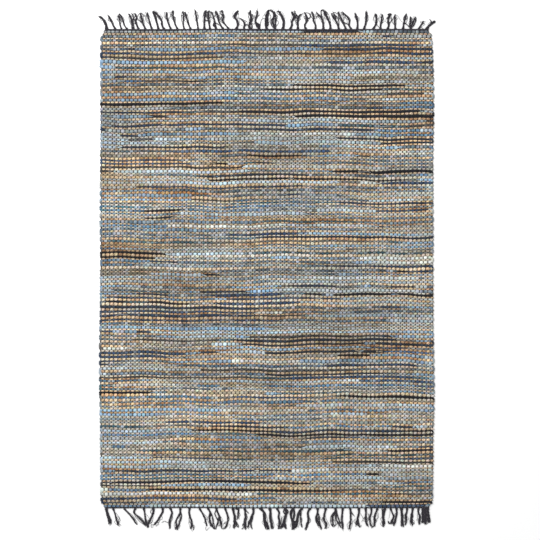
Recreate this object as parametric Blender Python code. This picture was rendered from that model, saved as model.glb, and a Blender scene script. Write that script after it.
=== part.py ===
"""A rag rug lying flat: a plain-woven field with a knotted warp fringe at each end.

Metres, +Z up. The origin is on the floor under the middle of the woven field. +X runs across the
rug along its picks, and +Y runs along its warp towards the end with the shorter fringe.
"""

import math
from bisect import bisect_right
from collections import namedtuple

import bmesh
import bpy

# The woven field, measured over its ribs
FIELD_WIDTH = 1.200
FIELD_LENGTH = 1.717
PICKS = 231  # 115 of jute between 116 of denim rag: each is one raised rib
RIB_TOP = 0.0070
RIB_FOOT = 0.0053
RIM_TOP = 0.0050
RIM_FOOT = 0.0040
COLUMNS = 6  # stretches across the field between its selvedges
LINES_PER_PANEL = 14  # rib lines over each panel of the flat underside
TURN_DEPTH = 0.0010  # how far a pick's turn stands out from the selvedge, and the notch beside it in
TURN_WANDER = 0.0012  # and how unevenly the turns are pulled in
CORNER_INSET = 0.014
CORNER_LENGTH = 0.030
BOW_HEIGHT = 0.0030  # how far the picks run off straight

# The twined heading across each end, and the knotted warp ends that hang from it
HEADING_GAP = 0.0006
HEADING_WIDTH = 0.0050
HEADING_TOP = 0.0046
KNOT_TOP = 0.0056
LOCK_TOP_AT_ROOT = 0.0048
LOCK_TOP_AT_TIP = 0.0030
TIP_SHARE = 0.7  # a lock's width at its tip, against its charted width
YARN_SHARE = 0.6  # and each yarn's where a lock parts in two
LOCK_CLEARANCE = 0.0006  # kept between neighbouring locks

# The fringe charts are in steps from the left, on lines a few steps apart, out from the heading
STEP = 0.003608
MIDDLE = 266.65  # the chart's place of the middle of the rug
CHART_LINES = 6
LINE_PITCH = 4.0
MOST_SLANT = 1.8  # the most that a slanting tassel is widened across
SPACING_ROUNDS = 60

# How far each selvedge stands out from its straight line
Selvedge = namedtuple("Selvedge", "along left right")
SELVEDGES = (
    Selvedge(-0.86, -0.004, -0.002),
    Selvedge(-0.60, +0.001, +0.001),
    Selvedge(-0.45, +0.003, +0.003),
    Selvedge(-0.15, +0.001, +0.001),
    Selvedge(+0.12, +0.000, -0.001),
    Selvedge(+0.55, -0.001, +0.002),
    Selvedge(+0.70, -0.002, +0.000),
    Selvedge(+0.86, -0.002, -0.004),
)

# A tassel crosses chart lines 0 to 5 at these steps, then ends at its reach. Where its yarns part,
# they do so at one line and meet again at another, or stay open (meet 0), up to a gap apart.
Tassel = namedtuple("Tassel", "at0 at1 at2 at3 at4 at5 reach width part meet gap", defaults=(0, 0, 0.0))
TOP_TASSELS = (
    Tassel(106.7, 106.2, 104.4, 100.7, 96.5, 96.5, 13.3, 2.4),
    Tassel(115.3, 113.2, 111.5, 109.4, 107.0, 105.0, 14.2, 1.6),
    Tassel(121.6, 120.2, 119.5, 118.8, 117.2, 116.0, 14.0, 1.2),
    Tassel(127.2, 124.3, 123.2, 121.6, 118.9, 117.0, 15.8, 1.5),
    Tassel(132.7, 132.2, 131.7, 130.6, 128.2, 126.0, 16.3, 1.7),
    Tassel(138.5, 136.9, 135.6, 137.0, 134.6, 133.0, 16.0, 1.6),
    Tassel(145.4, 143.8, 142.4, 141.5, 140.4, 139.0, 16.3, 1.5),
    Tassel(151.9, 150.5, 149.5, 148.3, 147.5, 147.0, 17.3, 1.5),
    Tassel(158.3, 157.5, 156.4, 155.2, 153.5, 152.0, 18.0, 1.7),
    Tassel(164.1, 162.0, 161.7, 159.6, 156.3, 152.5, 18.4, 1.8),
    Tassel(170.8, 169.2, 167.7, 167.0, 166.7, 166.2, 17.7, 1.5),
    Tassel(177.4, 175.5, 174.2, 173.4, 173.2, 173.0, 19.2, 1.5),
    Tassel(184.1, 183.2, 183.3, 183.3, 183.1, 181.8, 18.8, 1.3),
    Tassel(190.5, 188.9, 187.5, 186.3, 185.2, 184.4, 17.5, 1.5),
    Tassel(198.1, 197.5, 197.0, 196.5, 195.9, 195.2, 20.0, 1.3),
    Tassel(204.4, 204.4, 204.4, 204.6, 205.1, 205.9, 19.5, 1.7),
    Tassel(209.8, 209.3, 208.8, 208.4, 208.5, 208.8, 18.2, 1.6),
    Tassel(216.2, 214.6, 214.4, 213.1, 212.0, 209.0, 18.4, 1.4, 0, 2, 1.4),
    Tassel(222.9, 220.3, 218.8, 217.8, 216.6, 215.4, 18.4, 1.7),
    Tassel(228.7, 225.4, 222.5, 223.5, 222.8, 221.0, 18.9, 1.6),
    Tassel(236.3, 237.9, 237.1, 234.5, 236.2, 239.2, 19.3, 2.0),
    Tassel(243.6, 244.4, 243.1, 239.0, 239.0, 239.0, 11.5, 1.2),
    Tassel(249.7, 249.3, 250.4, 250.9, 249.7, 250.6, 19.2, 1.8),
    Tassel(258.9, 257.9, 255.3, 256.6, 257.4, 257.4, 19.2, 1.7, 0, 2, 2.2),
    Tassel(266.4, 266.8, 267.0, 267.4, 268.0, 268.3, 19.5, 1.8, 0, 3, 1.4),
    Tassel(274.9, 274.4, 274.2, 274.8, 274.6, 271.8, 19.2, 1.7, 0, 4, 2.8),
    Tassel(282.8, 283.5, 283.6, 282.4, 280.1, 277.4, 19.2, 2.2),
    Tassel(290.0, 291.9, 291.9, 294.0, 293.2, 292.6, 17.5, 1.9, 3, 0, 2.0),
    Tassel(297.7, 297.7, 297.8, 298.6, 301.2, 302.0, 15.8, 1.8),
    Tassel(305.7, 304.7, 306.8, 306.9, 305.3, 304.5, 17.3, 1.8),
    Tassel(315.3, 315.5, 313.8, 313.8, 312.5, 311.0, 18.1, 1.5),
    Tassel(323.2, 323.3, 322.7, 321.0, 317.0, 315.0, 17.3, 1.8),
    Tassel(330.3, 330.1, 328.8, 327.2, 325.7, 324.3, 19.2, 1.8),
    Tassel(338.8, 337.8, 335.9, 334.0, 332.4, 331.0, 16.5, 1.7, 2, 0, 2.6),
    Tassel(345.6, 344.2, 342.2, 340.7, 339.1, 337.5, 17.7, 1.6),
    Tassel(351.0, 348.9, 349.3, 347.7, 343.0, 340.5, 17.5, 1.6),
    Tassel(357.1, 357.6, 357.4, 356.2, 355.1, 354.6, 17.3, 1.6),
    Tassel(364.0, 365.1, 366.0, 366.6, 366.1, 365.8, 18.1, 1.8),
    Tassel(373.0, 375.5, 376.1, 376.1, 375.5, 375.0, 15.8, 1.7),
    Tassel(380.2, 380.5, 381.3, 381.8, 382.2, 382.4, 15.4, 1.6),
    Tassel(387.5, 388.7, 388.0, 389.0, 390.3, 390.6, 15.6, 1.8),
    Tassel(395.1, 395.1, 394.7, 394.5, 395.0, 395.2, 14.4, 1.6),
    Tassel(402.9, 403.4, 404.3, 405.4, 406.8, 408.0, 15.5, 1.7),
    Tassel(410.4, 410.8, 412.1, 413.0, 414.0, 415.0, 12.8, 1.7, 0, 0, 5.2),
    Tassel(418.4, 420.8, 423.0, 425.0, 426.0, 427.0, 8.3, 1.5),
    Tassel(426.6, 429.6, 435.0, 440.0, 440.0, 440.0, 8.0, 2.6),
)
BOTTOM_TASSELS = (
    Tassel(106.4, 107.2, 108.4, 109.6, 110.4, 111.0, 16.0, 2.2, 0, 0, 1.5),
    Tassel(113.2, 114.7, 115.8, 116.9, 118.1, 119.3, 17.7, 1.5),
    Tassel(124.3, 127.9, 131.3, 134.2, 136.9, 139.0, 16.6, 1.6),
    Tassel(135.4, 133.9, 137.8, 142.0, 144.8, 146.0, 17.8, 1.7),
    Tassel(143.8, 144.7, 145.1, 145.7, 146.5, 147.6, 17.7, 1.6),
    Tassel(153.4, 153.4, 151.9, 150.0, 148.4, 147.9, 18.5, 1.8),
    Tassel(162.7, 162.6, 160.2, 157.8, 154.9, 152.0, 17.3, 1.7),
    Tassel(170.4, 172.1, 171.1, 169.6, 169.6, 170.1, 21.2, 1.7),
    Tassel(180.3, 180.3, 179.8, 178.3, 177.8, 177.4, 21.9, 1.6, 1, 5, 4.2),
    Tassel(189.5, 189.2, 189.8, 191.4, 191.9, 191.3, 21.2, 1.7, 4, 0, 1.6),
    Tassel(199.5, 201.8, 204.0, 205.5, 206.5, 206.9, 18.0, 1.5),
    Tassel(207.9, 210.2, 210.8, 211.3, 212.2, 213.6, 20.8, 1.7, 1, 5, 3.4),
    Tassel(216.2, 217.6, 219.2, 219.4, 219.2, 218.6, 20.0, 1.6, 2, 0, 5.0),
    Tassel(225.2, 226.6, 227.6, 227.9, 227.1, 225.2, 20.8, 1.6),
    Tassel(232.9, 233.7, 234.7, 235.0, 235.6, 236.0, 20.0, 2.0, 3, 0, 4.6),
    Tassel(238.4, 238.2, 237.8, 238.0, 239.0, 239.0, 10.5, 1.4),
    Tassel(244.7, 245.1, 245.5, 245.0, 245.0, 245.5, 21.6, 1.7),
    Tassel(253.2, 253.4, 252.0, 250.7, 249.5, 249.4, 20.0, 1.8, 1, 0, 3.4),
    Tassel(260.6, 264.0, 264.3, 264.7, 265.4, 266.3, 21.2, 2.6),
    Tassel(269.7, 270.4, 270.3, 270.7, 271.7, 271.9, 21.2, 2.3),
    Tassel(277.0, 279.2, 278.4, 279.2, 279.3, 278.5, 21.2, 1.8),
    Tassel(285.0, 286.3, 285.4, 284.2, 283.8, 283.8, 20.0, 2.2, 3, 0, 4.4),
    Tassel(293.1, 292.8, 292.4, 292.4, 293.0, 292.5, 21.2, 2.0, 0, 3, 3.6),
    Tassel(301.9, 299.9, 299.2, 299.4, 298.9, 298.9, 20.2, 1.9, 0, 0, 6.4),
    Tassel(309.9, 307.9, 308.1, 308.2, 307.0, 306.1, 21.9, 1.9),
    Tassel(317.6, 317.6, 317.7, 318.1, 319.6, 320.9, 21.6, 1.8, 1, 4, 2.6),
    Tassel(325.7, 324.8, 324.0, 324.0, 326.0, 325.8, 20.8, 1.8),
    Tassel(335.3, 335.7, 334.3, 334.6, 336.1, 337.0, 19.6, 1.7, 0, 0, 7.2),
    Tassel(342.6, 342.2, 342.0, 342.0, 342.4, 342.6, 21.2, 1.6),
    Tassel(350.2, 350.5, 350.6, 350.5, 350.2, 349.4, 21.6, 1.6),
    Tassel(358.7, 358.9, 358.0, 357.4, 357.5, 357.3, 18.3, 1.8, 2, 0, 3.0),
    Tassel(365.5, 365.9, 365.6, 365.7, 366.9, 368.0, 18.1, 1.7),
    Tassel(371.3, 371.3, 370.1, 369.6, 370.8, 372.0, 18.1, 1.5),
    Tassel(377.4, 375.8, 374.6, 374.2, 374.4, 374.7, 18.5, 1.7),
    Tassel(384.8, 384.0, 383.0, 383.4, 383.2, 382.6, 18.9, 2.2),
    Tassel(390.5, 392.0, 393.5, 392.0, 389.5, 387.0, 15.0, 1.5),
    Tassel(396.3, 396.7, 396.1, 395.2, 394.1, 393.0, 18.1, 1.6),
    Tassel(401.4, 401.5, 401.8, 402.0, 402.0, 402.0, 18.5, 2.2),
    Tassel(407.0, 406.6, 405.2, 406.3, 405.4, 404.6, 17.0, 1.6),
    Tassel(412.7, 412.1, 411.7, 411.3, 412.1, 412.0, 18.1, 1.6, 1, 4, 1.6),
    Tassel(418.4, 418.2, 419.6, 419.2, 419.0, 419.0, 16.6, 1.5),
    Tassel(422.8, 422.4, 422.6, 422.6, 422.6, 422.6, 15.4, 2.0),
    Tassel(425.3, 425.3, 425.5, 425.7, 425.7, 425.7, 16.2, 2.1),
    Tassel(427.7, 428.0, 428.6, 429.2, 429.4, 429.4, 14.6, 2.0),
)


def clear_scene():
    for thing in list(bpy.data.objects):
        bpy.data.objects.remove(thing, do_unlink=True)


def cloth_material(name, colour):
    material = bpy.data.materials.new(name)
    material.use_nodes = True
    surface = material.node_tree.nodes["Principled BSDF"]
    surface.inputs["Base Color"].default_value = (*colour, 1.0)
    surface.inputs["Roughness"].default_value = 0.95
    surface.inputs["Metallic"].default_value = 0.0
    return material


def add_object(name, shape, material):
    """Turns a closed bmesh into a smooth-shaded object with sharp rims."""
    bmesh.ops.recalc_face_normals(shape, faces=shape.faces)
    mesh = bpy.data.meshes.new(name)
    shape.to_mesh(mesh)
    shape.free()
    mesh.materials.append(material)
    mesh.shade_smooth()
    mesh.set_sharp_from_angle(angle=math.radians(40))
    thing = bpy.data.objects.new(name, mesh)
    bpy.context.scene.collection.objects.link(thing)
    return thing


def selvedge_at(along, side):
    """How far out one selvedge stands at a place along the rug, between its charted places."""
    places = [row.along for row in SELVEDGES]
    first = min(max(bisect_right(places, along) - 1, 0), len(places) - 2)
    here, there = SELVEDGES[first], SELVEDGES[first + 1]
    share = (along - here.along) / (there.along - here.along)
    out = getattr(here, side) * (1 - share) + getattr(there, side) * share
    from_end = FIELD_LENGTH / 2 - abs(along)
    corner = CORNER_INSET * max(0.0, 1 - from_end / CORNER_LENGTH) ** 2
    return FIELD_WIDTH / 2 + out - corner


def bow(across, along):
    """How far the picks run off straight towards +Y: long uneven waves, calmer at the ends."""
    long_wave = math.sin(7.9 * across + 3.1 * along)
    short_wave = math.sin(12.4 * across - 5.3 * along + 1.2)
    calm = 1 - 0.75 * (2 * along / FIELD_LENGTH) ** 6
    return BOW_HEIGHT * calm * (0.6 * long_wave + 0.4 * short_wave)


def field_line(number, turned):
    """The points of one line across the field: odd lines run along a rib, even ones between two."""
    along = FIELD_LENGTH * (number / (2 * PICKS) - 0.5)
    is_rib = number % 2 == 1
    wander = TURN_WANDER * math.sin(2.4 * number) * math.sin(0.37 * number)
    turn = (TURN_DEPTH if is_rib else -TURN_DEPTH) + wander if turned else 0.0
    left = -selvedge_at(along, "left") - turn
    right = selvedge_at(along, "right") + turn
    points = []
    for column in range(COLUMNS + 1):
        across = left + (right - left) * column / COLUMNS
        points.append((across, along + bow(across, along)))
    return points


def top_heights(number):
    """The heights of one line's points: lower at the selvedges and along the two end lines."""
    is_rib = number % 2 == 1
    inside = RIB_TOP if is_rib else RIB_FOOT
    rim = RIM_TOP if is_rib else RIM_FOOT
    if number in (0, 2 * PICKS):
        inside = rim
    return [rim] + [inside] * (COLUMNS - 1) + [rim]


def join_lines(shape, first, second):
    """Faces between two lines of the same number of points."""
    for column in range(len(first) - 1):
        shape.faces.new((first[column], first[column + 1], second[column + 1], second[column]))


def side_wall(shape, upper, lower):
    """Closes one selvedge between the ribs' fine outline and the coarser outline of the underside."""
    for panel in range(len(lower) - 1):
        start = panel * LINES_PER_PANEL
        middle = start + LINES_PER_PANEL // 2
        end = start + LINES_PER_PANEL
        for line in range(start, middle):
            shape.faces.new((lower[panel], upper[line], upper[line + 1]))
        shape.faces.new((lower[panel], upper[middle], lower[panel + 1]))
        for line in range(middle, end):
            shape.faces.new((lower[panel + 1], upper[line], upper[line + 1]))


def woven_field(material):
    """The cloth: raised ribs over a flat underside, between two uneven selvedges."""
    shape = bmesh.new()
    top = []
    for number in range(2 * PICKS + 1):
        places = zip(field_line(number, turned=True), top_heights(number))
        top.append([shape.verts.new((x, y, z)) for (x, y), z in places])
    underside = []
    for number in range(0, 2 * PICKS + 1, LINES_PER_PANEL):
        underside.append([shape.verts.new((x, y, 0.0)) for x, y in field_line(number, turned=False)])
    for lines in (top, underside):
        for first, second in zip(lines, lines[1:]):
            join_lines(shape, first, second)
    for side in (0, -1):
        side_wall(shape, [line[side] for line in top], [line[side] for line in underside])
    for end in (0, -1):
        join_lines(shape, top[end], underside[end])
    return add_object("woven_field", shape, material)


def yarn_gap(tassel, line):
    """The gap between a tassel's two yarns where they cross a chart line, in steps."""
    if not tassel.gap or line <= tassel.part:
        return 0.0
    if not tassel.meet:
        last = tassel.reach / LINE_PITCH
        return tassel.gap * (line - tassel.part) / (last - tassel.part)
    if line >= tassel.meet:
        return 0.0
    return tassel.gap * math.sin(math.pi * (line - tassel.part) / (tassel.meet - tassel.part))


def half_width(tassel, line):
    """Half a tassel's width as measured across the rug, which is more where the tassel slants."""
    before = min(int(line), CHART_LINES - 2)
    slant = (tassel[before + 1] - tassel[before]) / LINE_PITCH
    return tassel.width / 2 * min(math.hypot(1.0, slant), MOST_SLANT)


def spaced_places(tassels):
    """Each tassel's places on the chart lines, with neighbours pushed apart until they clear."""
    places = [list(tassel[:CHART_LINES]) for tassel in tassels]
    for line in range(CHART_LINES):
        present = [i for i, tassel in enumerate(tassels) if tassel.reach > (line - 1) * LINE_PITCH]
        halves = {i: half_width(tassels[i], line) for i in present}
        for i in present:
            gap = yarn_gap(tassels[i], line)
            if gap:
                halves[i] = gap / 2 + halves[i] * 2 * YARN_SHARE
        for _ in range(SPACING_ROUNDS):
            for left, right in zip(present, present[1:]):
                needed = halves[left] + halves[right] + LOCK_CLEARANCE / STEP
                short = needed - (places[right][line] - places[left][line])
                if short > 0:
                    places[left][line] -= short / 2
                    places[right][line] += short / 2
    return places


def tassel_rows(tassel, places):
    """The tassel's rows of points (across, out) in steps, from root to tip, one chain for each yarn."""
    outs = [line * LINE_PITCH for line in range(CHART_LINES) if line * LINE_PITCH < tassel.reach - 0.6]
    rows = []
    for out in outs + [tassel.reach]:
        line = out / LINE_PITCH
        before = min(int(line), CHART_LINES - 2)
        share = min(line - before, 1.0)
        centre = places[before] * (1 - share) + places[before + 1] * share
        half = half_width(tassel, line) * (TIP_SHARE if out == tassel.reach else 1.0)
        gap = yarn_gap(tassel, line) / 2
        if gap:
            yarn = half * 2 * YARN_SHARE
            chains = [(centre - gap - yarn, centre - gap), (centre + gap, centre + gap + yarn)]
        elif tassel.gap and line in (tassel.part, tassel.meet):
            chains = [(centre - half, centre, centre + half)]
        else:
            chains = [(centre - half, centre + half)]
        rows.append([[(across, out) for across in chain] for chain in chains])
    return rows


def lock_faces(shape, near, far):
    """Flat faces between two rows of a tassel, where it is whole, parts into two yarns or meets again."""
    if len(near) == 1 and len(far) == 2:
        whole = near[0]
        near = [whole[:2], whole[1:]]
    if len(near) == 2 and len(far) == 1:
        whole = far[0]
        far = [whole[:2], whole[1:]]
    for here, there in zip(near, far):
        if len(here) == len(there):
            for k in range(len(here) - 1):
                shape.faces.new((here[k], here[k + 1], there[k + 1], there[k]))
            continue
        ends, middle = (here, there) if len(there) == 3 else (there, here)
        shape.faces.new((middle[1], middle[0], ends[0]))
        shape.faces.new((middle[1], ends[0], ends[1]))
        shape.faces.new((middle[1], ends[1], middle[2]))


def fringe(name, tassels, towards, material):
    """One heading strip with its tassels, which lie on the floor. Towards is +1 at +Y and -1 at -Y."""
    shape = bmesh.new()
    height = shape.verts.layers.float.new("height")
    end = FIELD_LENGTH / 2

    def place(across, out, top):
        """A point over the floor, out past the heading's outer edge."""
        x = (across - MIDDLE) * STEP
        edge = end + HEADING_GAP + HEADING_WIDTH
        point = shape.verts.new((x, towards * (edge + out * STEP) + bow(x, towards * end), 0.0))
        point[height] = top
        return point

    outer = []
    left = MIDDLE - selvedge_at(towards * end, "left") / STEP
    right = MIDDLE + selvedge_at(towards * end, "right") / STEP
    places = spaced_places(tassels)
    outer.append(place(min(left, places[0][0] - tassels[0].width), 0.0, HEADING_TOP))
    for tassel, across in zip(tassels, places):
        rows = tassel_rows(tassel, across)
        locks = []
        for row in rows:
            share = row[0][0][1] / tassel.reach
            top = LOCK_TOP_AT_ROOT * (1 - share) + LOCK_TOP_AT_TIP * share
            top = KNOT_TOP if row is rows[0] else top
            locks.append([[place(x, out, top) for x, out in chain] for chain in row])
        for near, far in zip(locks, locks[1:]):
            lock_faces(shape, near, far)
        outer.extend(locks[0][0])
    outer.append(place(max(right, places[-1][0] + tassels[-1].width), 0.0, HEADING_TOP))

    inner = []
    for point in outer:
        back = shape.verts.new((point.co.x, point.co.y - towards * HEADING_WIDTH, 0.0))
        back[height] = HEADING_TOP
        inner.append(back)
    join_lines(shape, inner, outer)

    flat = shape.faces[:]
    raised = bmesh.ops.extrude_face_region(shape, geom=flat)["geom"]
    for point in raised:
        if isinstance(point, bmesh.types.BMVert):
            point.co.z = point[height]
    return add_object(name, shape, material)


def main():
    clear_scene()
    rag_weave = cloth_material("rag_weave", (0.262, 0.250, 0.220))
    warp_cotton = cloth_material("warp_cotton", (0.032, 0.026, 0.032))
    woven_field(rag_weave)
    fringe("fringe_top", TOP_TASSELS, +1, warp_cotton)
    fringe("fringe_bottom", BOTTOM_TASSELS, -1, warp_cotton)


main()
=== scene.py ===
"""A jute and denim rag rug, made thread by thread in the place of its plain solids.

Picks of jute and of denim rag go over and under dark cotton warps, turn back at each selvedge, and
are held by a twined heading with knotted warp tassels at each end. Metres, +Z up, the origin on the
floor under the middle of the woven field, +Y along the warp towards the shorter fringe.
"""

import logging
import math
import random
from dataclasses import dataclass, field, replace
from enum import Enum
from typing import ClassVar, Iterable, NamedTuple

import bpy
import numpy as np
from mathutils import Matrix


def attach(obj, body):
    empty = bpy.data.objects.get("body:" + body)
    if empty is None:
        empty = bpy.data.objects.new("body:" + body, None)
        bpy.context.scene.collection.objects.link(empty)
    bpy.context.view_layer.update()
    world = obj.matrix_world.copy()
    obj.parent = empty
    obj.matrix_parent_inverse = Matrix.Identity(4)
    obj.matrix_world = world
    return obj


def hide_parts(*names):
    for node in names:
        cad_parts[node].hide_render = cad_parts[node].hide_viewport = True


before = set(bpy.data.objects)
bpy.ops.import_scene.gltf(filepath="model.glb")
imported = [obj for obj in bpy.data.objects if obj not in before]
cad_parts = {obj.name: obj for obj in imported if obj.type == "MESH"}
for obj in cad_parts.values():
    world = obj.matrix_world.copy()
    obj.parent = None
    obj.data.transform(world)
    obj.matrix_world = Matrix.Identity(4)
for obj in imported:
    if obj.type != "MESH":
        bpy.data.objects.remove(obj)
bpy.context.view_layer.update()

LOG = logging.getLogger("rag_rug")
BODY = "root"

# The fringe charts are in steps from their left and top edges
STEP = 0.003608
CHART_SIZE = 540.0
MIDDLE_ACROSS = 266.65
MIDDLE_ALONG = 268.75

MOSTLY_DYED = 0.3  # a strip with less pale reverse than this shows little but its dye
NEARLY_NONE = 1e-6
MOST_START = 3.0  # metres of thread that may lie before a strand's start, to set its twist off

Triple = tuple[float, float, float]
Span = tuple[float, float]


def linear(red: int, green: int, blue: int) -> Triple:
    """Turns an 8-bit display colour into linear light.

    Args:
        red: red, 0 to 255.
        green: green, 0 to 255.
        blue: blue, 0 to 255.

    Returns:
        The colour in linear light, 0 to 1.
    """
    shares = (red / 255, green / 255, blue / 255)
    return tuple(s / 12.92 if s <= 0.04045 else ((s + 0.055) / 1.055) ** 2.4 for s in shares)


class Shade(Enum):
    """The shades of denim rag, each by its dye, how much pale reverse shows, and its bulk."""

    BLACK = (linear(20, 23, 33), 0.0, 1.08)
    INK = (linear(34, 46, 62), 0.05, 1.00)
    CHARCOAL = (linear(60, 61, 62), 0.12, 0.92)
    NAVY = (linear(42, 62, 88), 0.14, 1.04)
    INDIGO = (linear(66, 98, 136), 0.20, 1.20)
    TEAL = (linear(62, 96, 110), 0.30, 1.04)
    SLATE = (linear(94, 110, 122), 0.38, 1.12)
    DENIM = (linear(88, 122, 150), 0.32, 1.18)
    SKY = (linear(130, 160, 184), 0.32, 1.24)
    ICE = (linear(168, 186, 196), 0.38, 1.22)
    WHITE = (linear(206, 211, 206), 0.45, 1.22)
    STONE = (linear(160, 165, 161), 0.45, 1.14)
    DUSK = (linear(110, 112, 110), 0.35, 1.02)
    KHAKI = (linear(146, 137, 118), 0.30, 1.04)

    @property
    def dye(self) -> Triple:
        """The face colour in linear light."""
        return self.value[0]

    @property
    def reverse(self) -> float:
        """The share of the strip that shows its pale reverse."""
        return self.value[1]

    @property
    def bulk(self) -> float:
        """The strip's width against a common one's."""
        return self.value[2]

    @property
    def tapers(self) -> bool:
        """Whether the strip's torn ends show as it narrows, as they do on the dark shades."""
        return self.reverse < MOSTLY_DYED


class Side(Enum):
    """The two selvedges, by the sign of X."""

    LEFT = -1
    RIGHT = 1


class Selvedge(NamedTuple):
    """How far the two selvedges stand out from their straight lines at a place along the rug."""

    along: float
    left: float
    right: float


class Beat(NamedTuple):
    """How far apart two picks of a kind are beaten at a place along the rug."""

    along: float
    pitch: float


class Standout(NamedTuple):
    """A denim strip that stands out from a step away: its place along the rug, its ends and its shade."""

    along: float
    start: float
    end: float
    shade: Shade


class Wave(NamedTuple):
    """A sine wave over two quantities: its rate with each in radians, its size and its phase."""

    first: float
    second: float
    size: float
    phase: float = 0.0


class Strip(NamedTuple):
    """A strip of denim rag in one pick: its ends across the rug, its shade and how it departs from it."""

    start: float
    end: float
    shade: Shade
    tone: float
    bulk: float
    pale: float
    phase: float


class Tassel(NamedTuple):
    """A tassel's places on six chart lines out from the heading, its reach and width, and its parting."""

    at0: float
    at1: float
    at2: float
    at3: float
    at4: float
    at5: float
    reach: float
    width: float
    part: float = 0
    meet: float = 0
    gap: float = 0.0


class Stray(NamedTuple):
    """A yarn that leaves its tassel, by its width and the chart places that it passes."""

    width: float
    places: tuple[tuple[float, float], ...]


SELVEDGES = (
    Selvedge(-0.86, -0.004, -0.002),
    Selvedge(-0.60, +0.001, +0.001),
    Selvedge(-0.45, +0.003, +0.003),
    Selvedge(-0.15, +0.001, +0.001),
    Selvedge(+0.12, +0.000, -0.001),
    Selvedge(+0.55, -0.001, +0.002),
    Selvedge(+0.70, -0.002, +0.000),
    Selvedge(+0.86, -0.002, -0.004),
)

BEATS = (
    Beat(-0.86, 0.0140),
    Beat(-0.60, 0.0145),
    Beat(-0.05, 0.0150),
    Beat(+0.15, 0.0140),
    Beat(+0.35, 0.0140),
    Beat(+0.50, 0.0160),
    Beat(+0.86, 0.0160),
)

STANDOUTS = (
    Standout(+0.85, -0.38, +0.12, Shade.ICE),
    Standout(+0.75, -0.57, -0.16, Shade.CHARCOAL),
    Standout(+0.75, +0.20, +0.56, Shade.NAVY),
    Standout(+0.64, -0.01, +0.42, Shade.BLACK),
    Standout(+0.60, -0.60, -0.16, Shade.BLACK),
    Standout(+0.51, -0.08, +0.39, Shade.NAVY),
    Standout(+0.50, -0.58, -0.33, Shade.WHITE),
    Standout(+0.43, -0.54, -0.16, Shade.INK),
    Standout(+0.34, -0.24, +0.14, Shade.INK),
    Standout(+0.15, -0.36, +0.05, Shade.WHITE),
    Standout(+0.00, -0.46, -0.01, Shade.ICE),
    Standout(-0.03, +0.14, +0.55, Shade.WHITE),
    Standout(-0.10, +0.24, +0.60, Shade.BLACK),
    Standout(-0.12, -0.19, +0.12, Shade.NAVY),
    Standout(-0.23, -0.42, +0.33, Shade.ICE),
    Standout(-0.30, +0.00, +0.44, Shade.INK),
    Standout(-0.38, +0.00, +0.42, Shade.INK),
    Standout(-0.42, -0.55, -0.25, Shade.WHITE),
    Standout(-0.47, +0.26, +0.60, Shade.BLACK),
    Standout(-0.52, -0.17, +0.15, Shade.WHITE),
    Standout(-0.72, +0.42, +0.60, Shade.WHITE),
    Standout(-0.73, -0.28, +0.09, Shade.NAVY),
    Standout(-0.77, -0.55, +0.16, Shade.BLACK),
    Standout(-0.80, -0.42, +0.25, Shade.BLACK),
    Standout(-0.82, +0.37, +0.60, Shade.WHITE),
    Standout(-0.86, -0.42, +0.15, Shade.ICE),
)

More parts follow.
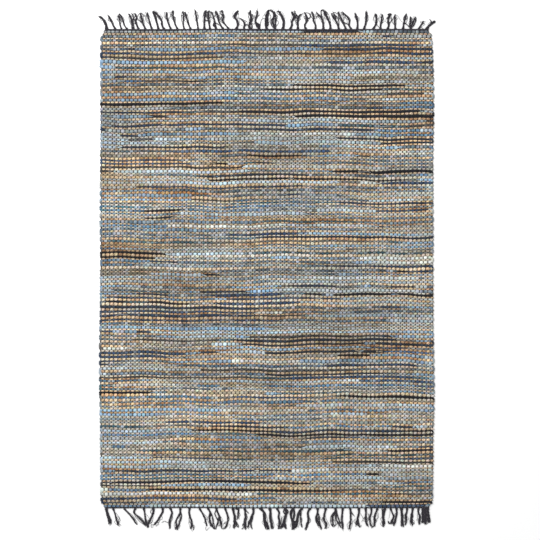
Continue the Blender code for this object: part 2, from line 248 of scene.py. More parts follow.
TOP_TASSELS = (
    Tassel(106.7, 106.2, 104.4, 100.7, 96.5, 96.5, 13.3, 2.4),
    Tassel(115.3, 113.2, 111.5, 109.4, 107.0, 105.0, 14.2, 1.6),
    Tassel(121.6, 120.2, 119.5, 118.8, 117.2, 116.0, 14.0, 1.2),
    Tassel(127.2, 124.3, 123.2, 121.6, 118.9, 117.0, 15.8, 1.5),
    Tassel(132.7, 132.2, 131.7, 130.6, 128.2, 126.0, 16.3, 1.7),
    Tassel(138.5, 136.9, 135.6, 137.0, 134.6, 133.0, 16.0, 1.6),
    Tassel(145.4, 143.8, 142.4, 141.5, 140.4, 139.0, 16.3, 1.5),
    Tassel(151.9, 150.5, 149.5, 148.3, 147.5, 147.0, 17.3, 1.5),
    Tassel(158.3, 157.5, 156.4, 155.2, 153.5, 152.0, 18.0, 1.7),
    Tassel(164.1, 162.0, 161.7, 159.6, 156.3, 152.5, 18.4, 1.8),
    Tassel(170.8, 169.2, 167.7, 167.0, 166.7, 166.2, 17.7, 1.5),
    Tassel(177.4, 175.5, 174.2, 173.4, 173.2, 173.0, 19.2, 1.5),
    Tassel(184.1, 183.2, 183.3, 183.3, 183.1, 181.8, 18.8, 1.3),
    Tassel(190.5, 188.9, 187.5, 186.3, 185.2, 184.4, 17.5, 1.5),
    Tassel(198.1, 197.5, 197.0, 196.5, 195.9, 195.2, 20.0, 1.3),
    Tassel(204.4, 204.4, 204.4, 204.6, 205.1, 205.9, 19.5, 1.7),
    Tassel(209.8, 209.3, 208.8, 208.4, 208.5, 208.8, 18.2, 1.6),
    Tassel(216.2, 214.6, 214.4, 213.1, 212.0, 209.0, 18.4, 1.4, 0, 2, 1.4),
    Tassel(222.9, 220.3, 218.8, 217.8, 216.6, 215.4, 18.4, 1.7),
    Tassel(228.7, 225.4, 222.5, 223.5, 222.8, 221.0, 18.9, 1.6),
    Tassel(236.3, 237.9, 237.1, 234.5, 236.2, 239.2, 19.3, 2.0),
    Tassel(243.6, 244.4, 243.1, 239.0, 239.0, 239.0, 11.5, 1.2),
    Tassel(249.7, 249.3, 250.4, 250.9, 249.7, 250.6, 19.2, 1.8),
    Tassel(258.9, 257.9, 255.3, 256.6, 257.4, 257.4, 19.2, 1.7, 0, 2, 2.2),
    Tassel(266.4, 266.8, 267.0, 267.4, 268.0, 268.3, 19.5, 1.8, 0, 3, 1.4),
    Tassel(274.9, 274.4, 274.2, 274.8, 274.6, 271.8, 19.2, 1.7, 0, 4, 2.8),
    Tassel(282.8, 283.5, 283.6, 282.4, 280.1, 277.4, 19.2, 2.2),
    Tassel(290.0, 291.9, 291.9, 294.0, 293.2, 292.6, 17.5, 1.9, 3, 0, 2.0),
    Tassel(297.7, 297.7, 297.8, 298.6, 301.2, 302.0, 15.8, 1.8),
    Tassel(305.7, 304.7, 306.8, 306.9, 305.3, 304.5, 17.3, 1.8),
    Tassel(315.3, 315.5, 313.8, 313.8, 312.5, 311.0, 18.1, 1.5),
    Tassel(323.2, 323.3, 322.7, 321.0, 317.0, 315.0, 17.3, 1.8),
    Tassel(330.3, 330.1, 328.8, 327.2, 325.7, 324.3, 19.2, 1.8),
    Tassel(338.8, 337.8, 335.9, 334.0, 332.4, 331.0, 16.5, 1.7, 2, 0, 2.6),
    Tassel(345.6, 344.2, 342.2, 340.7, 339.1, 337.5, 17.7, 1.6),
    Tassel(351.0, 348.9, 349.3, 347.7, 343.0, 340.5, 17.5, 1.6),
    Tassel(357.1, 357.6, 357.4, 356.2, 355.1, 354.6, 17.3, 1.6),
    Tassel(364.0, 365.1, 366.0, 366.6, 366.1, 365.8, 18.1, 1.8),
    Tassel(373.0, 375.5, 376.1, 376.1, 375.5, 375.0, 15.8, 1.7),
    Tassel(380.2, 380.5, 381.3, 381.8, 382.2, 382.4, 15.4, 1.6),
    Tassel(387.5, 388.7, 388.0, 389.0, 390.3, 390.6, 15.6, 1.8),
    Tassel(395.1, 395.1, 394.7, 394.5, 395.0, 395.2, 14.4, 1.6),
    Tassel(402.9, 403.4, 404.3, 405.4, 406.8, 408.0, 15.5, 1.7),
    Tassel(410.4, 410.8, 412.1, 413.0, 414.0, 415.0, 12.8, 1.7, 0, 0, 5.2),
    Tassel(418.4, 420.8, 423.0, 425.0, 426.0, 427.0, 8.3, 1.5),
    Tassel(426.6, 429.6, 435.0, 440.0, 440.0, 440.0, 8.0, 2.6),
)

BOTTOM_TASSELS = (
    Tassel(106.4, 107.2, 108.4, 109.6, 110.4, 111.0, 16.0, 2.2, 0, 0, 1.5),
    Tassel(113.2, 114.7, 115.8, 116.9, 118.1, 119.3, 17.7, 1.5),
    Tassel(124.3, 127.9, 131.3, 134.2, 136.9, 139.0, 16.6, 1.6),
    Tassel(135.4, 133.9, 137.8, 142.0, 144.8, 146.0, 17.8, 1.7),
    Tassel(143.8, 144.7, 145.1, 145.7, 146.5, 147.6, 17.7, 1.6),
    Tassel(153.4, 153.4, 151.9, 150.0, 148.4, 147.9, 18.5, 1.8),
    Tassel(162.7, 162.6, 160.2, 157.8, 154.9, 152.0, 17.3, 1.7),
    Tassel(170.4, 172.1, 171.1, 169.6, 169.6, 170.1, 21.2, 1.7),
    Tassel(180.3, 180.3, 179.8, 178.3, 177.8, 177.4, 21.9, 1.6, 1, 5, 4.2),
    Tassel(189.5, 189.2, 189.8, 191.4, 191.9, 191.3, 21.2, 1.7, 4, 0, 1.6),
    Tassel(199.5, 201.8, 204.0, 205.5, 206.5, 206.9, 18.0, 1.5),
    Tassel(207.9, 210.2, 210.8, 211.3, 212.2, 213.6, 20.8, 1.7, 1, 5, 3.4),
    Tassel(216.2, 217.6, 219.2, 219.4, 219.2, 218.6, 20.0, 1.6, 2, 0, 5.0),
    Tassel(225.2, 226.6, 227.6, 227.9, 227.1, 225.2, 20.8, 1.6),
    Tassel(232.9, 233.7, 234.7, 235.0, 235.6, 236.0, 20.0, 2.0, 3, 0, 4.6),
    Tassel(238.4, 238.2, 237.8, 238.0, 239.0, 239.0, 10.5, 1.4),
    Tassel(244.7, 245.1, 245.5, 245.0, 245.0, 245.5, 21.6, 1.7),
    Tassel(253.2, 253.4, 252.0, 250.7, 249.5, 249.4, 20.0, 1.8, 1, 0, 3.4),
    Tassel(260.6, 264.0, 264.3, 264.7, 265.4, 266.3, 21.2, 2.6),
    Tassel(269.7, 270.4, 270.3, 270.7, 271.7, 271.9, 21.2, 2.3),
    Tassel(277.0, 279.2, 278.4, 279.2, 279.3, 278.5, 21.2, 1.8),
    Tassel(285.0, 286.3, 285.4, 284.2, 283.8, 283.8, 20.0, 2.2, 3, 0, 4.4),
    Tassel(293.1, 292.8, 292.4, 292.4, 293.0, 292.5, 21.2, 2.0, 0, 3, 3.6),
    Tassel(301.9, 299.9, 299.2, 299.4, 298.9, 298.9, 20.2, 1.9, 0, 0, 6.4),
    Tassel(309.9, 307.9, 308.1, 308.2, 307.0, 306.1, 21.9, 1.9),
    Tassel(317.6, 317.6, 317.7, 318.1, 319.6, 320.9, 21.6, 1.8, 1, 4, 2.6),
    Tassel(325.7, 324.8, 324.0, 324.0, 326.0, 325.8, 20.8, 1.8),
    Tassel(335.3, 335.7, 334.3, 334.6, 336.1, 337.0, 19.6, 1.7, 0, 0, 7.2),
    Tassel(342.6, 342.2, 342.0, 342.0, 342.4, 342.6, 21.2, 1.6),
    Tassel(350.2, 350.5, 350.6, 350.5, 350.2, 349.4, 21.6, 1.6),
    Tassel(358.7, 358.9, 358.0, 357.4, 357.5, 357.3, 18.3, 1.8, 2, 0, 3.0),
    Tassel(365.5, 365.9, 365.6, 365.7, 366.9, 368.0, 18.1, 1.7),
    Tassel(371.3, 371.3, 370.1, 369.6, 370.8, 372.0, 18.1, 1.5),
    Tassel(377.4, 375.8, 374.6, 374.2, 374.4, 374.7, 18.5, 1.7),
    Tassel(384.8, 384.0, 383.0, 383.4, 383.2, 382.6, 18.9, 2.2),
    Tassel(390.5, 392.0, 393.5, 392.0, 389.5, 387.0, 15.0, 1.5),
    Tassel(396.3, 396.7, 396.1, 395.2, 394.1, 393.0, 18.1, 1.6),
    Tassel(401.4, 401.5, 401.8, 402.0, 402.0, 402.0, 18.5, 2.2),
    Tassel(407.0, 406.6, 405.2, 406.3, 405.4, 404.6, 17.0, 1.6),
    Tassel(412.7, 412.1, 411.7, 411.3, 412.1, 412.0, 18.1, 1.6, 1, 4, 1.6),
    Tassel(418.4, 418.2, 419.6, 419.2, 419.0, 419.0, 16.6, 1.5),
    Tassel(422.8, 422.4, 422.6, 422.6, 422.6, 422.6, 15.4, 2.0),
    Tassel(425.3, 425.3, 425.5, 425.7, 425.7, 425.7, 16.2, 2.1),
    Tassel(427.7, 428.0, 428.6, 429.2, 429.4, 429.4, 14.6, 2.0),
)

TOP_STRAYS = (
    Stray(1.2, ((134.4, 29), (133.6, 25), (133.0, 21), (133.4, 17), (132.6, 14.6), (131.0, 13.4))),
    Stray(1.5, ((137.2, 23.4), (135.0, 20.6), (133.0, 18.6))),
    Stray(
        0.6,
        ((132.2, 17), (133.2, 14.2), (135, 13.2), (136.6, 15), (137.2, 17.4), (138.3, 19.4), (136.6, 20.2)),
    ),
    Stray(0.9, ((137.2, 17.4), (138.4, 15), (140.4, 13.2), (142.6, 14), (144.2, 15.8), (143.2, 17))),
    Stray(1.4, ((142.4, 22.8), (140.2, 21.2), (138.2, 19.9))),
    Stray(0.5, ((150.4, 25.4), (147.2, 22.2), (145.2, 17.4), (142.8, 14.4))),
    Stray(1.6, ((156.4, 14.6), (154.4, 12.4), (152.6, 11.4))),
    Stray(0.5, ((167.4, 21), (165.3, 17.6), (164.4, 12.4), (163.2, 11.4))),
    Stray(0.6, ((173.4, 20), (171.4, 16.4), (171.8, 13.6), (170.4, 12))),
    Stray(0.5, ((186.6, 17.4), (187.8, 14.2), (188.8, 11.4))),
    Stray(1.2, ((205.4, 20.4), (207, 20.8), (208.6, 19.4))),
    Stray(1.4, ((205.4, 11.8), (207, 12.8), (208.6, 11))),
    Stray(0.6, ((205.8, 16.8), (206.8, 14.8), (207.8, 16.4), (207, 18.2))),
    Stray(1.1, ((216.8, 28.4), (213.6, 26.2), (213, 24.8), (214.6, 23.6), (217.2, 23.8), (219, 25.4))),
    Stray(1.0, ((223.2, 16), (221, 14.6), (220.6, 11.6), (222.6, 10.8), (223, 13.4), (221.6, 15))),
    Stray(0.5, ((234, 17.4), (232.6, 14.4), (233.4, 9.6))),
    Stray(0.6, ((236.6, 17.8), (239.2, 18.2), (241.6, 19.8), (243.6, 22), (244.8, 24.4), (246.2, 26.6))),
    Stray(0.5, ((239, 24.4), (241.6, 25.4), (244, 27))),
    Stray(1.2, ((244.2, 28.8), (243.6, 27), (244.6, 25.2), (246.6, 24.7), (248.4, 25.7), (248.4, 27.8))),
    Stray(0.6, ((246.6, 12.6), (248.2, 13.6), (248.2, 17), (249.6, 20))),
    Stray(1.6, ((251.6, 28.6), (252, 25.4), (250.4, 23), (252.2, 20.4), (250.8, 17.4))),
    Stray(0.8, ((252.6, 19), (253.4, 16.4), (252, 14.6), (250.6, 15.6))),
    Stray(0.8, ((251.2, 22.4), (253.4, 24.2), (255.8, 22.6))),
    Stray(0.5, ((255.6, 15), (254.4, 17.2), (256, 19.4))),
    Stray(1.1, ((256.6, 27.4), (255.8, 24.8), (257.2, 23.2), (259.4, 24.3), (260, 26.6), (259.4, 28.6))),
    Stray(0.9, ((260, 28), (260.4, 23.4), (261.4, 20), (263.2, 18.5), (265.4, 18.6))),
    Stray(0.5, ((262, 18.2), (263.4, 15.6), (265, 14.2))),
    Stray(1.6, ((265.6, 28), (265.2, 24), (265.4, 19), (266.4, 14), (268.4, 10.8), (271, 9.8))),
    Stray(
        1.3,
        (
            (270.2, 10.6),
            (272.6, 12.6),
            (273.5, 15),
            (273, 18),
            (271.4, 20),
            (270.8, 23),
            (272, 26.4),
            (274.2, 28.2),
        ),
    ),
    Stray(0.8, ((277, 20.4), (278.6, 22.4), (277.6, 24.6), (276.6, 26))),
    Stray(1.5, ((290.9, 12.2), (293.4, 13.8), (294.8, 16.4), (297.6, 18.4), (300, 19.4))),
    Stray(1.3, ((294.6, 10.6), (295.2, 13.4), (297.2, 16), (298.4, 19.4))),
    Stray(1.5, ((292.4, 19.4), (294.6, 17.2), (296.6, 15))),
    Stray(1.0, ((307.4, 18.6), (309.6, 18), (310.2, 15.8), (308.8, 13.4), (306.4, 12.8))),
    Stray(0.6, ((312, 18.4), (310.4, 15.8), (311.4, 13.2))),
    Stray(1.3, ((322.4, 20.4), (321.4, 15.6), (320.9, 11.6), (322, 10.2), (324.2, 9.9))),
    Stray(0.7, ((320.8, 17.4), (318, 16.2), (316, 17.4), (317.6, 18.6))),
    Stray(1.6, ((323.4, 10), (324.2, 13.4), (326, 17), (328, 20.4))),
    Stray(0.9, ((338.6, 27.6), (339, 24), (338.4, 18.4), (338, 13.6), (338.6, 11.8))),
    Stray(0.9, ((331.2, 15.4), (333, 12.8), (335.4, 12.6), (336.6, 14), (338.4, 11.8))),
    Stray(0.7, ((336.4, 23), (338.2, 20), (336.8, 17), (335.4, 15))),
    Stray(1.0, ((342, 20), (344.4, 22.6), (347, 24), (349.2, 26))),
    Stray(0.6, ((342.6, 16.6), (344.2, 18.8), (343.2, 21), (345.6, 24.6))),
    Stray(0.9, ((376.6, 24.8), (378.4, 26.8), (379.6, 28.2))),
    Stray(2.6, ((388, 15.6), (389.6, 14.4), (391.4, 15.2))),
    Stray(1.0, ((389.4, 23.4), (391.4, 20.2), (390.9, 16.6))),
    Stray(0.6, ((393.6, 14.8), (396, 15), (398.2, 16.8), (400, 20), (402.6, 22.6))),
    Stray(1.2, ((410.4, 28), (406.6, 24.6), (404.4, 22.8))),
    Stray(1.3, ((411, 28.2), (413.8, 25.2), (415.4, 21.4), (416.2, 18))),
    Stray(0.6, ((411.4, 26.4), (412, 22.4), (412.2, 20))),
    Stray(0.9, ((418.8, 29.2), (420.8, 27.6), (423.6, 29.2))),
    Stray(2.8, ((431.6, 23.4), (433.2, 22.4), (435, 21.6))),
    Stray(1.2, ((431.2, 24.2), (431, 21.4), (429.2, 19.2))),
)

BOTTOM_STRAYS = (
    Stray(2.2, ((106.6, 510), (107.6, 514), (109.6, 518), (111.2, 521.6))),
    Stray(0.8, ((117.6, 516), (119.6, 518), (120, 520.5), (118.6, 522.5), (119.6, 523.8), (121.4, 525.4))),
    Stray(0.8, ((134.6, 515.4), (137.6, 519), (140.4, 521.8), (144.6, 525))),
    Stray(2.6, ((146, 522.4), (147.4, 525), (148.2, 527.4))),
    Stray(0.8, ((152.2, 509), (150.8, 510.5), (150.6, 512.5), (152.4, 513.4))),
    Stray(0.8, ((157.8, 522), (158.8, 523.6), (157, 525), (155.8, 526.6))),
    Stray(0.7, ((154.4, 524.8), (151.4, 524.6), (151.6, 527.4), (153.6, 526))),
    Stray(0.5, ((153.2, 521), (150.8, 522.6), (151.8, 524.4))),
    Stray(0.8, ((169.2, 522.6), (167, 522), (164.4, 521), (161.4, 522.6))),
    Stray(1.2, ((177.6, 525.4), (175.6, 527.4), (175.4, 529.6))),
    Stray(0.6, ((175.2, 521), (174.2, 524), (174.4, 526.4), (175.8, 528))),
    Stray(0.7, ((189.6, 514), (189, 519), (190.2, 523))),
    Stray(1.1, ((192.4, 523.6), (193.4, 527), (193.4, 530))),
    Stray(0.6, ((206.6, 525.4), (205.6, 528), (206.4, 530.4), (208, 528.4), (209.6, 527.2))),
    Stray(1.6, ((210, 525), (212.6, 526.8), (215.4, 529))),
    Stray(1.0, ((220.6, 519.4), (221.8, 523), (221.4, 527), (222.4, 528.6), (224.8, 528.4))),
    Stray(
        1.2,
        ((216, 510), (214.8, 513), (215.6, 516), (217.2, 519), (217.8, 522), (216.2, 526), (216, 529)),
    ),
    Stray(0.8, ((217.4, 517.6), (219.4, 518.6), (219.6, 520.4), (217.6, 520.8))),
    Stray(0.5, ((229.6, 523.6), (230.2, 526), (229, 528.6))),
    Stray(1.4, ((235.4, 508.8), (238.2, 509.4), (238.7, 512), (238, 516), (236.8, 519.6))),
    Stray(1.0, ((236.2, 522.6), (234.4, 523.4), (233.2, 524.8))),
    Stray(0.9, ((236.4, 525), (234.8, 527), (234.4, 529))),
    Stray(1.2, ((245.6, 509.8), (247, 511.4), (248.8, 513.2))),
    Stray(1.0, ((244.4, 522), (242.6, 525), (243.6, 527), (241.6, 529))),
    Stray(0.8, ((246.2, 513), (247.2, 517), (246.2, 521))),
    Stray(1.4, ((252.8, 515), (252.6, 518), (251.2, 521.6), (251.2, 525), (252.2, 529))),
    Stray(0.8, ((247, 526.4), (249, 529.2))),
    Stray(3.0, ((265.8, 521.6), (267.4, 526), (268.4, 529.2))),
    Stray(0.6, ((265.6, 513), (266.9, 518), (268, 523))),
    Stray(1.8, ((283.4, 522), (281.4, 526), (280.4, 528.6))),
    Stray(2.2, ((283.8, 522), (284.6, 526), (286.4, 528.6))),
    Stray(1.3, ((284.4, 508.6), (283.4, 511.2), (285, 514.4))),
    Stray(1.3, ((286, 508.6), (288.2, 511.4), (286.6, 514.4))),
    Stray(0.8, ((281, 516), (281.6, 520), (281, 524))),
    Stray(1.5, ((293, 508.4), (290.4, 511.2), (290.2, 514.4), (291.8, 518.4), (293, 521))),
    Stray(2.6, ((294.2, 520.6), (294.2, 525), (293.4, 529.2))),
    Stray(0.9, ((295, 523.8), (297, 523), (297.5, 525), (295.6, 528))),
    Stray(1.4, ((301.2, 508.4), (298.9, 511), (297.2, 515), (296.6, 519), (295.4, 522))),
    Stray(0.8, ((300.2, 517), (300.4, 521), (301.8, 523.4))),
    Stray(1.1, ((316.8, 513), (315.4, 518), (316.2, 522), (318.8, 526))),
    Stray(1.2, ((324.6, 520), (326.6, 523), (326.8, 526.4))),
    Stray(
        1.0,
        (
            (335.2, 511),
            (332.4, 513.6),
            (330.8, 517),
            (330.6, 521),
            (331.4, 524.6),
            (333.4, 526.6),
            (335.6, 524.6),
            (337.8, 522.6),
        ),
    ),
    Stray(0.5, ((331, 520.6), (334, 520), (337, 519.6))),
    Stray(1.6, ((336.4, 512), (337.6, 516), (339, 520), (340.4, 523.6))),
    Stray(1.0, ((351, 511), (352.6, 514), (354.4, 516))),
    Stray(1.1, ((357.4, 521), (358.8, 524), (359.6, 527), (361.2, 525))),
    Stray(0.6, ((355.6, 518.6), (353.6, 521), (355.2, 523.4))),
    Stray(0.6, ((360, 513), (362, 516), (363, 519), (361.4, 522))),
    Stray(0.9, ((365.4, 513), (365.8, 518), (365.2, 522), (367, 524.4), (368.4, 527.2))),
    Stray(0.8, ((367.8, 513), (369, 517), (366.6, 519.6), (367.8, 522))),
    Stray(1.2, ((369.4, 521), (370.2, 524.6), (372, 527), (374, 525.4))),
    Stray(0.5, ((377.8, 512), (378.4, 516), (377, 520))),
    Stray(0.8, ((372, 516), (374.6, 518), (375.8, 521), (373.6, 524))),
    Stray(1.6, ((382, 508.6), (382.4, 513), (382.4, 517), (383.2, 521))),
    Stray(1.5, ((395.4, 519), (394, 522), (391, 523.4), (388.8, 523), (388, 520.6))),
    Stray(0.5, ((390, 510), (389.4, 515), (388.4, 519))),
    Stray(1.2, ((394.6, 521.6), (393.8, 526))),
    Stray(1.6, ((402.4, 519), (403, 524), (403.4, 527))),
    Stray(1.1, ((406.2, 513.6), (406.6, 518), (406.4, 522), (405, 524.4))),
    Stray(0.8, ((411.4, 516.6), (410, 520), (409.8, 523), (411, 525.4))),
    Stray(1.7, ((424.2, 508), (424.4, 516), (424.6, 524.4))),
    Stray(1.5, ((427, 508), (427.6, 516), (427.8, 523))),
)


class Sock:
    """A node socket that takes part in sums: each operator adds one Math node."""

    def __init__(self, maker: "TreeMaker", socket: bpy.types.NodeSocket) -> None:
        """Wraps one output socket of a tree."""
        self.maker = maker
        self.socket = socket

    def _sum(self, operation: str, first: object, second: object) -> "Sock":
        """Adds a Math node with two inputs."""
        return self.maker.node("ShaderNodeMath", {"operation": operation}, {0: first, 1: second})

    def __add__(self, other: object) -> "Sock":
        """This plus another."""
        return self._sum("ADD", self, other)

    def __mul__(self, other: object) -> "Sock":
        """This times another."""
        return self._sum("MULTIPLY", self, other)

    def sine(self) -> "Sock":
        """The sine of this, in radians."""
        return self._sum("SINE", self, 0.0)


class TreeMaker:
    """Adds nodes to one node tree and links them."""

    def __init__(self, tree: bpy.types.NodeTree) -> None:
        """Takes the tree that the nodes go into."""
        self.tree = tree

    def node(
        self, kind: str, settings: dict | None = None, sockets: dict | None = None, out: object = 0
    ) -> Sock:
        """Adds a node.

        Args:
            kind: the node's type.
            settings: its settings by name, set first.
            sockets: values or links for its inputs, by name or number.
            out: the output that is returned, by name or number.

        Returns:
            The chosen output.
        """
        made = self.tree.nodes.new(kind)
        for name, value in (settings or {}).items():
            setattr(made, name, value)
        for name, value in (sockets or {}).items():
            self.feed(made.inputs[name], value)
        return Sock(self, made.outputs[out]) if len(made.outputs) else Sock(self, None)

    def feed(self, socket: bpy.types.NodeSocket, value: object) -> None:
        """Links a wrapped socket into an input, or sets the input's own value."""
        if isinstance(value, Sock):
            self.tree.links.new(value.socket, socket)
        else:
            socket.default_value = value


class ShaderMaker(TreeMaker):
    """Adds the shader nodes that the thread finishes share."""

    SHEEN_ROUGHNESS = 0.6
    SPECULAR = 0.2
    FINE = 3.0  # finer layers of noise, where the finest fibres show

    def __init__(self, name: str) -> None:
        """Makes a material and takes its node tree."""
        self.material = bpy.data.materials.new(name)
        self.material.use_nodes = True
        super().__init__(self.material.node_tree)
        self.surface = self.tree.nodes["Principled BSDF"]

    def attribute(self, name: str, out: str) -> Sock:
        """Reads an attribute of the mesh."""
        return self.node("ShaderNodeAttribute", {"attribute_name": name}, out=out)

    def thread(self) -> tuple[Sock, Sock]:
        """The way along a thread in metres and the way round it in turns."""
        places = self.node("ShaderNodeUVMap", {"uv_map": StrandLoom.THREAD_MAP})
        parts = self.tree.nodes.new("ShaderNodeSeparateXYZ")
        self.feed(parts.inputs[0], places)
        return Sock(self, parts.outputs[0]), Sock(self, parts.outputs[1])

    def noise(self, scale: Triple, detail: float = 2.0) -> Sock:
        """Noise over the object's own coordinates.

        Args:
            scale: cycles to a metre along X, Y and Z.
            detail: how many finer layers it has.

        Returns:
            The noise, mostly between 0.3 and 0.7.
        """
        where = self.node("ShaderNodeTexCoord", out="Object")
        stretched = self.node("ShaderNodeVectorMath", {"operation": "MULTIPLY"}, {0: where, 1: scale})
        return self.node("ShaderNodeTexNoise", None, {"Vector": stretched, "Scale": 1.0, "Detail": detail})

    def step(self, value: Sock, low: float, high: float) -> Sock:
        """Rises smoothly from 0 at low to 1 at high."""
        return self.node(
            "ShaderNodeMapRange",
            {"interpolation_type": "SMOOTHSTEP"},
            {"Value": value, "From Min": low, "From Max": high},
        )

    def plied(self, length: float, plies: int) -> Sock:
        """The plies that twist round a thread, from 0 between them to 1 on their crowns."""
        run, around = self.thread()
        return (run * (math.tau / length) + around * (plies * math.tau)).sine() * 0.5 + 0.5

    def uneven(self, noise: Sock, amount: float) -> Sock:
        """A factor that the noise moves above and below 1."""
        return noise * amount + (1.0 - 0.5 * amount)

    def mixed(self, share: object, first: object, second: object) -> Sock:
        """Mixes two colours by a share."""
        return self.node("ShaderNodeMix", {"data_type": "RGBA"}, {0: share, 6: first, 7: second}, out=2)

    def scaled(self, colour: Sock, factor: object) -> Sock:
        """A colour made lighter or darker."""
        return self.node("ShaderNodeVectorMath", {"operation": "SCALE"}, {0: colour, "Scale": factor})

    def finish(
        self, colour: Sock, roughness: Sock, height: Sock, relief: float, sheen: float
    ) -> bpy.types.Material:
        """Feeds the surface.

        Args:
            colour: the base colour.
            roughness: the roughness.
            height: the height that the bump reads.
            relief: what a height of 1 stands for, in metres.
            sheen: the weight of the fuzz's sheen.

        Returns:
            The finished material.
        """
        bump = self.node("ShaderNodeBump", None, {"Strength": 1.0, "Distance": relief, "Height": height})
        self.feed(self.surface.inputs["Base Color"], colour)
        self.feed(self.surface.inputs["Roughness"], roughness)
        self.feed(self.surface.inputs["Normal"], bump)
        self.surface.inputs["Sheen Weight"].default_value = sheen
        self.surface.inputs["Sheen Roughness"].default_value = self.SHEEN_ROUGHNESS
        self.surface.inputs["Specular IOR Level"].default_value = self.SPECULAR
        return self.material


@dataclass(frozen=True)
class DenimFinish:
    """Torn denim: a dyed twill face, a paler reverse that shows in patches, creases that bump the surface and
    carry painted shade, and frayed edges.
    """

    reverse: Triple = linear(190, 198, 206)
    patch_noise: Triple = (34.0, 60.0, 60.0)
    patch_edge: Span = (0.46, 0.60)
    patch_paleness: float = 0.72
    fray_noise: Triple = (70.0, 1100.0, 1100.0)
    fray_edge: Span = (0.60, 0.72)
    fray: float = 0.7
    crease_noise: Triple = (26.0, 520.0, 520.0)
    crease_shade: float = 0.30
    mottle_noise: Triple = (130.0, 150.0, 150.0)
    mottle: float = 0.5
    twill_lines: float = 620.0
    twill_turns: int = 14
    twill: float = 0.06
    crease_height: float = 0.8
    twill_height: float = 0.12
    fray_height: float = 0.3
    roughness: float = 0.8
    roughness_range: float = 0.2
    relief: float = 0.0012
    sheen: float = 0.10

    def build(self) -> bpy.types.Material:
        """Makes the material."""
        made = ShaderMaker("denim_rag")
        dye = made.attribute("dye", "Color")
        shows = made.attribute("dye", "Alpha")
        run, around = made.thread()
        patches = made.step(made.noise(self.patch_noise, made.FINE), *self.patch_edge) * shows
        fray = made.step(made.noise(self.fray_noise), *self.fray_edge) * shows * self.fray
        creases = made.noise(self.crease_noise)
        mottle = made.noise(self.mottle_noise)
        twill = (run * (self.twill_lines * math.tau) + around * (self.twill_turns * math.tau)).sine()
        pale = made.mixed(self.patch_paleness, dye, (*self.reverse, 1.0))
        cloth = made.mixed(patches, dye, pale)
        cloth = made.mixed(fray, cloth, (*self.reverse, 1.0))
        # The crease noise lightens and darkens the colour along with its bumps: painted crease shade
        light = made.uneven(creases, self.crease_shade) * made.uneven(mottle, self.mottle)
        light = light * (twill * self.twill + 1.0)
        height = creases * self.crease_height + twill * self.twill_height + fray * self.fray_height
        colour = made.scaled(cloth, light)
        roughness = mottle * self.roughness_range + self.roughness
        return made.finish(colour, roughness, height, self.relief, self.sheen)


@dataclass(frozen=True)
class JuteFinish:
    """Two-ply jute: golden plies with painted shade in the grooves between them, and coarse stray fibres."""

    ply_length: float = 0.0105
    plies: int = 2
    groove_edge: Span = (0.0, 0.35)
    groove_shade: float = 0.40
    fibre_noise: Triple = (90.0, 1500.0, 1500.0)
    fibre: float = 0.55
    mottle_noise: Triple = (100.0, 130.0, 130.0)
    mottle: float = 0.4
    groove_height: float = 0.7
    fibre_height: float = 0.5
    roughness: float = 0.78
    roughness_range: float = 0.2
    relief: float = 0.0012
    sheen: float = 0.08

    def build(self) -> bpy.types.Material:
        """Makes the material."""
        made = ShaderMaker("jute_yarn")
        dye = made.attribute("dye", "Color")
        grooves = made.step(made.plied(self.ply_length, self.plies), *self.groove_edge)
        fibres = made.noise(self.fibre_noise, made.FINE)
        mottle = made.noise(self.mottle_noise)
        # Darkens the grooves between the plies: painted shade
        light = (grooves * self.groove_shade + (1.0 - self.groove_shade)) * made.uneven(fibres, self.fibre)
        height = grooves * self.groove_height + fibres * self.fibre_height
        colour = made.scaled(dye, light * made.uneven(mottle, self.mottle))
        roughness = fibres * self.roughness_range + self.roughness
        return made.finish(colour, roughness, height, self.relief, self.sheen)


@dataclass(frozen=True)
class CottonFinish:
    """Matt plied cotton, in the dye that its threads carry, with painted shade between its plies."""

    ply_length: float = 0.0060
    plies: int = 3
    between_plies_shade: float = 0.70
    ply: float = 0.45
    lint_noise: Triple = (420.0, 420.0, 900.0)
    lint: float = 0.7
    ply_height: float = 0.7
    lint_height: float = 0.4
    roughness: float = 0.82
    roughness_range: float = 0.15
    relief: float = 0.0007
    sheen: float = 0.15

    def build(self) -> bpy.types.Material:
        """Makes the material."""
        made = ShaderMaker("charcoal_cotton")
        dye = made.attribute("dye", "Color")
        ply = made.plied(self.ply_length, self.plies)
        lint = made.noise(self.lint_noise, made.FINE)
        # Darker between the plies and lighter on their crowns: painted shade
        light = (ply * self.ply + self.between_plies_shade) * made.uneven(lint, self.lint)
        height = ply * self.ply_height + lint * self.lint_height
        colour = made.scaled(dye, light)
        roughness = lint * self.roughness_range + self.roughness
        return made.finish(colour, roughness, height, self.relief, self.sheen)


@dataclass(frozen=True)
class FloorFinish:
    """A plain pale floor with the faintest mottle."""

    colour: Triple = (0.93, 0.93, 0.93)
    shaded: Triple = (0.88, 0.88, 0.88)
    mottle_noise: Triple = (3.0, 3.0, 3.0)
    mottle: float = 0.02
    roughness: float = 0.85
    roughness_range: float = 0.1
    relief: float = 0.0001

    def build(self) -> bpy.types.Material:
        """Makes the material."""
        made = ShaderMaker("pale_floor")
        mottle = made.noise(self.mottle_noise)
        colour = made.mixed(mottle * self.mottle, (*self.colour, 1.0), (*self.shaded, 1.0))
        roughness = mottle * self.roughness_range + self.roughness
        return made.finish(colour, roughness, mottle, self.relief, 0.0)


def blurred(values: np.ndarray, spread: float, axis: int) -> np.ndarray:
    """Evens out a table along one of its axes.

    Args:
        values: the table.
        spread: how far, in cells, as the bell curve's standard deviation.
        axis: the axis.

    Returns:
        The evened table, as large as the first.
    """
    reach = math.ceil(3 * spread)
    bell = np.exp(-0.5 * (np.arange(-reach, reach + 1) / spread) ** 2)
    room = [(reach, reach) if k == axis else (0, 0) for k in range(values.ndim)]
    padded = np.pad(values, room, mode="reflect")
    return np.apply_along_axis(np.convolve, axis, padded, bell / bell.sum(), "valid")


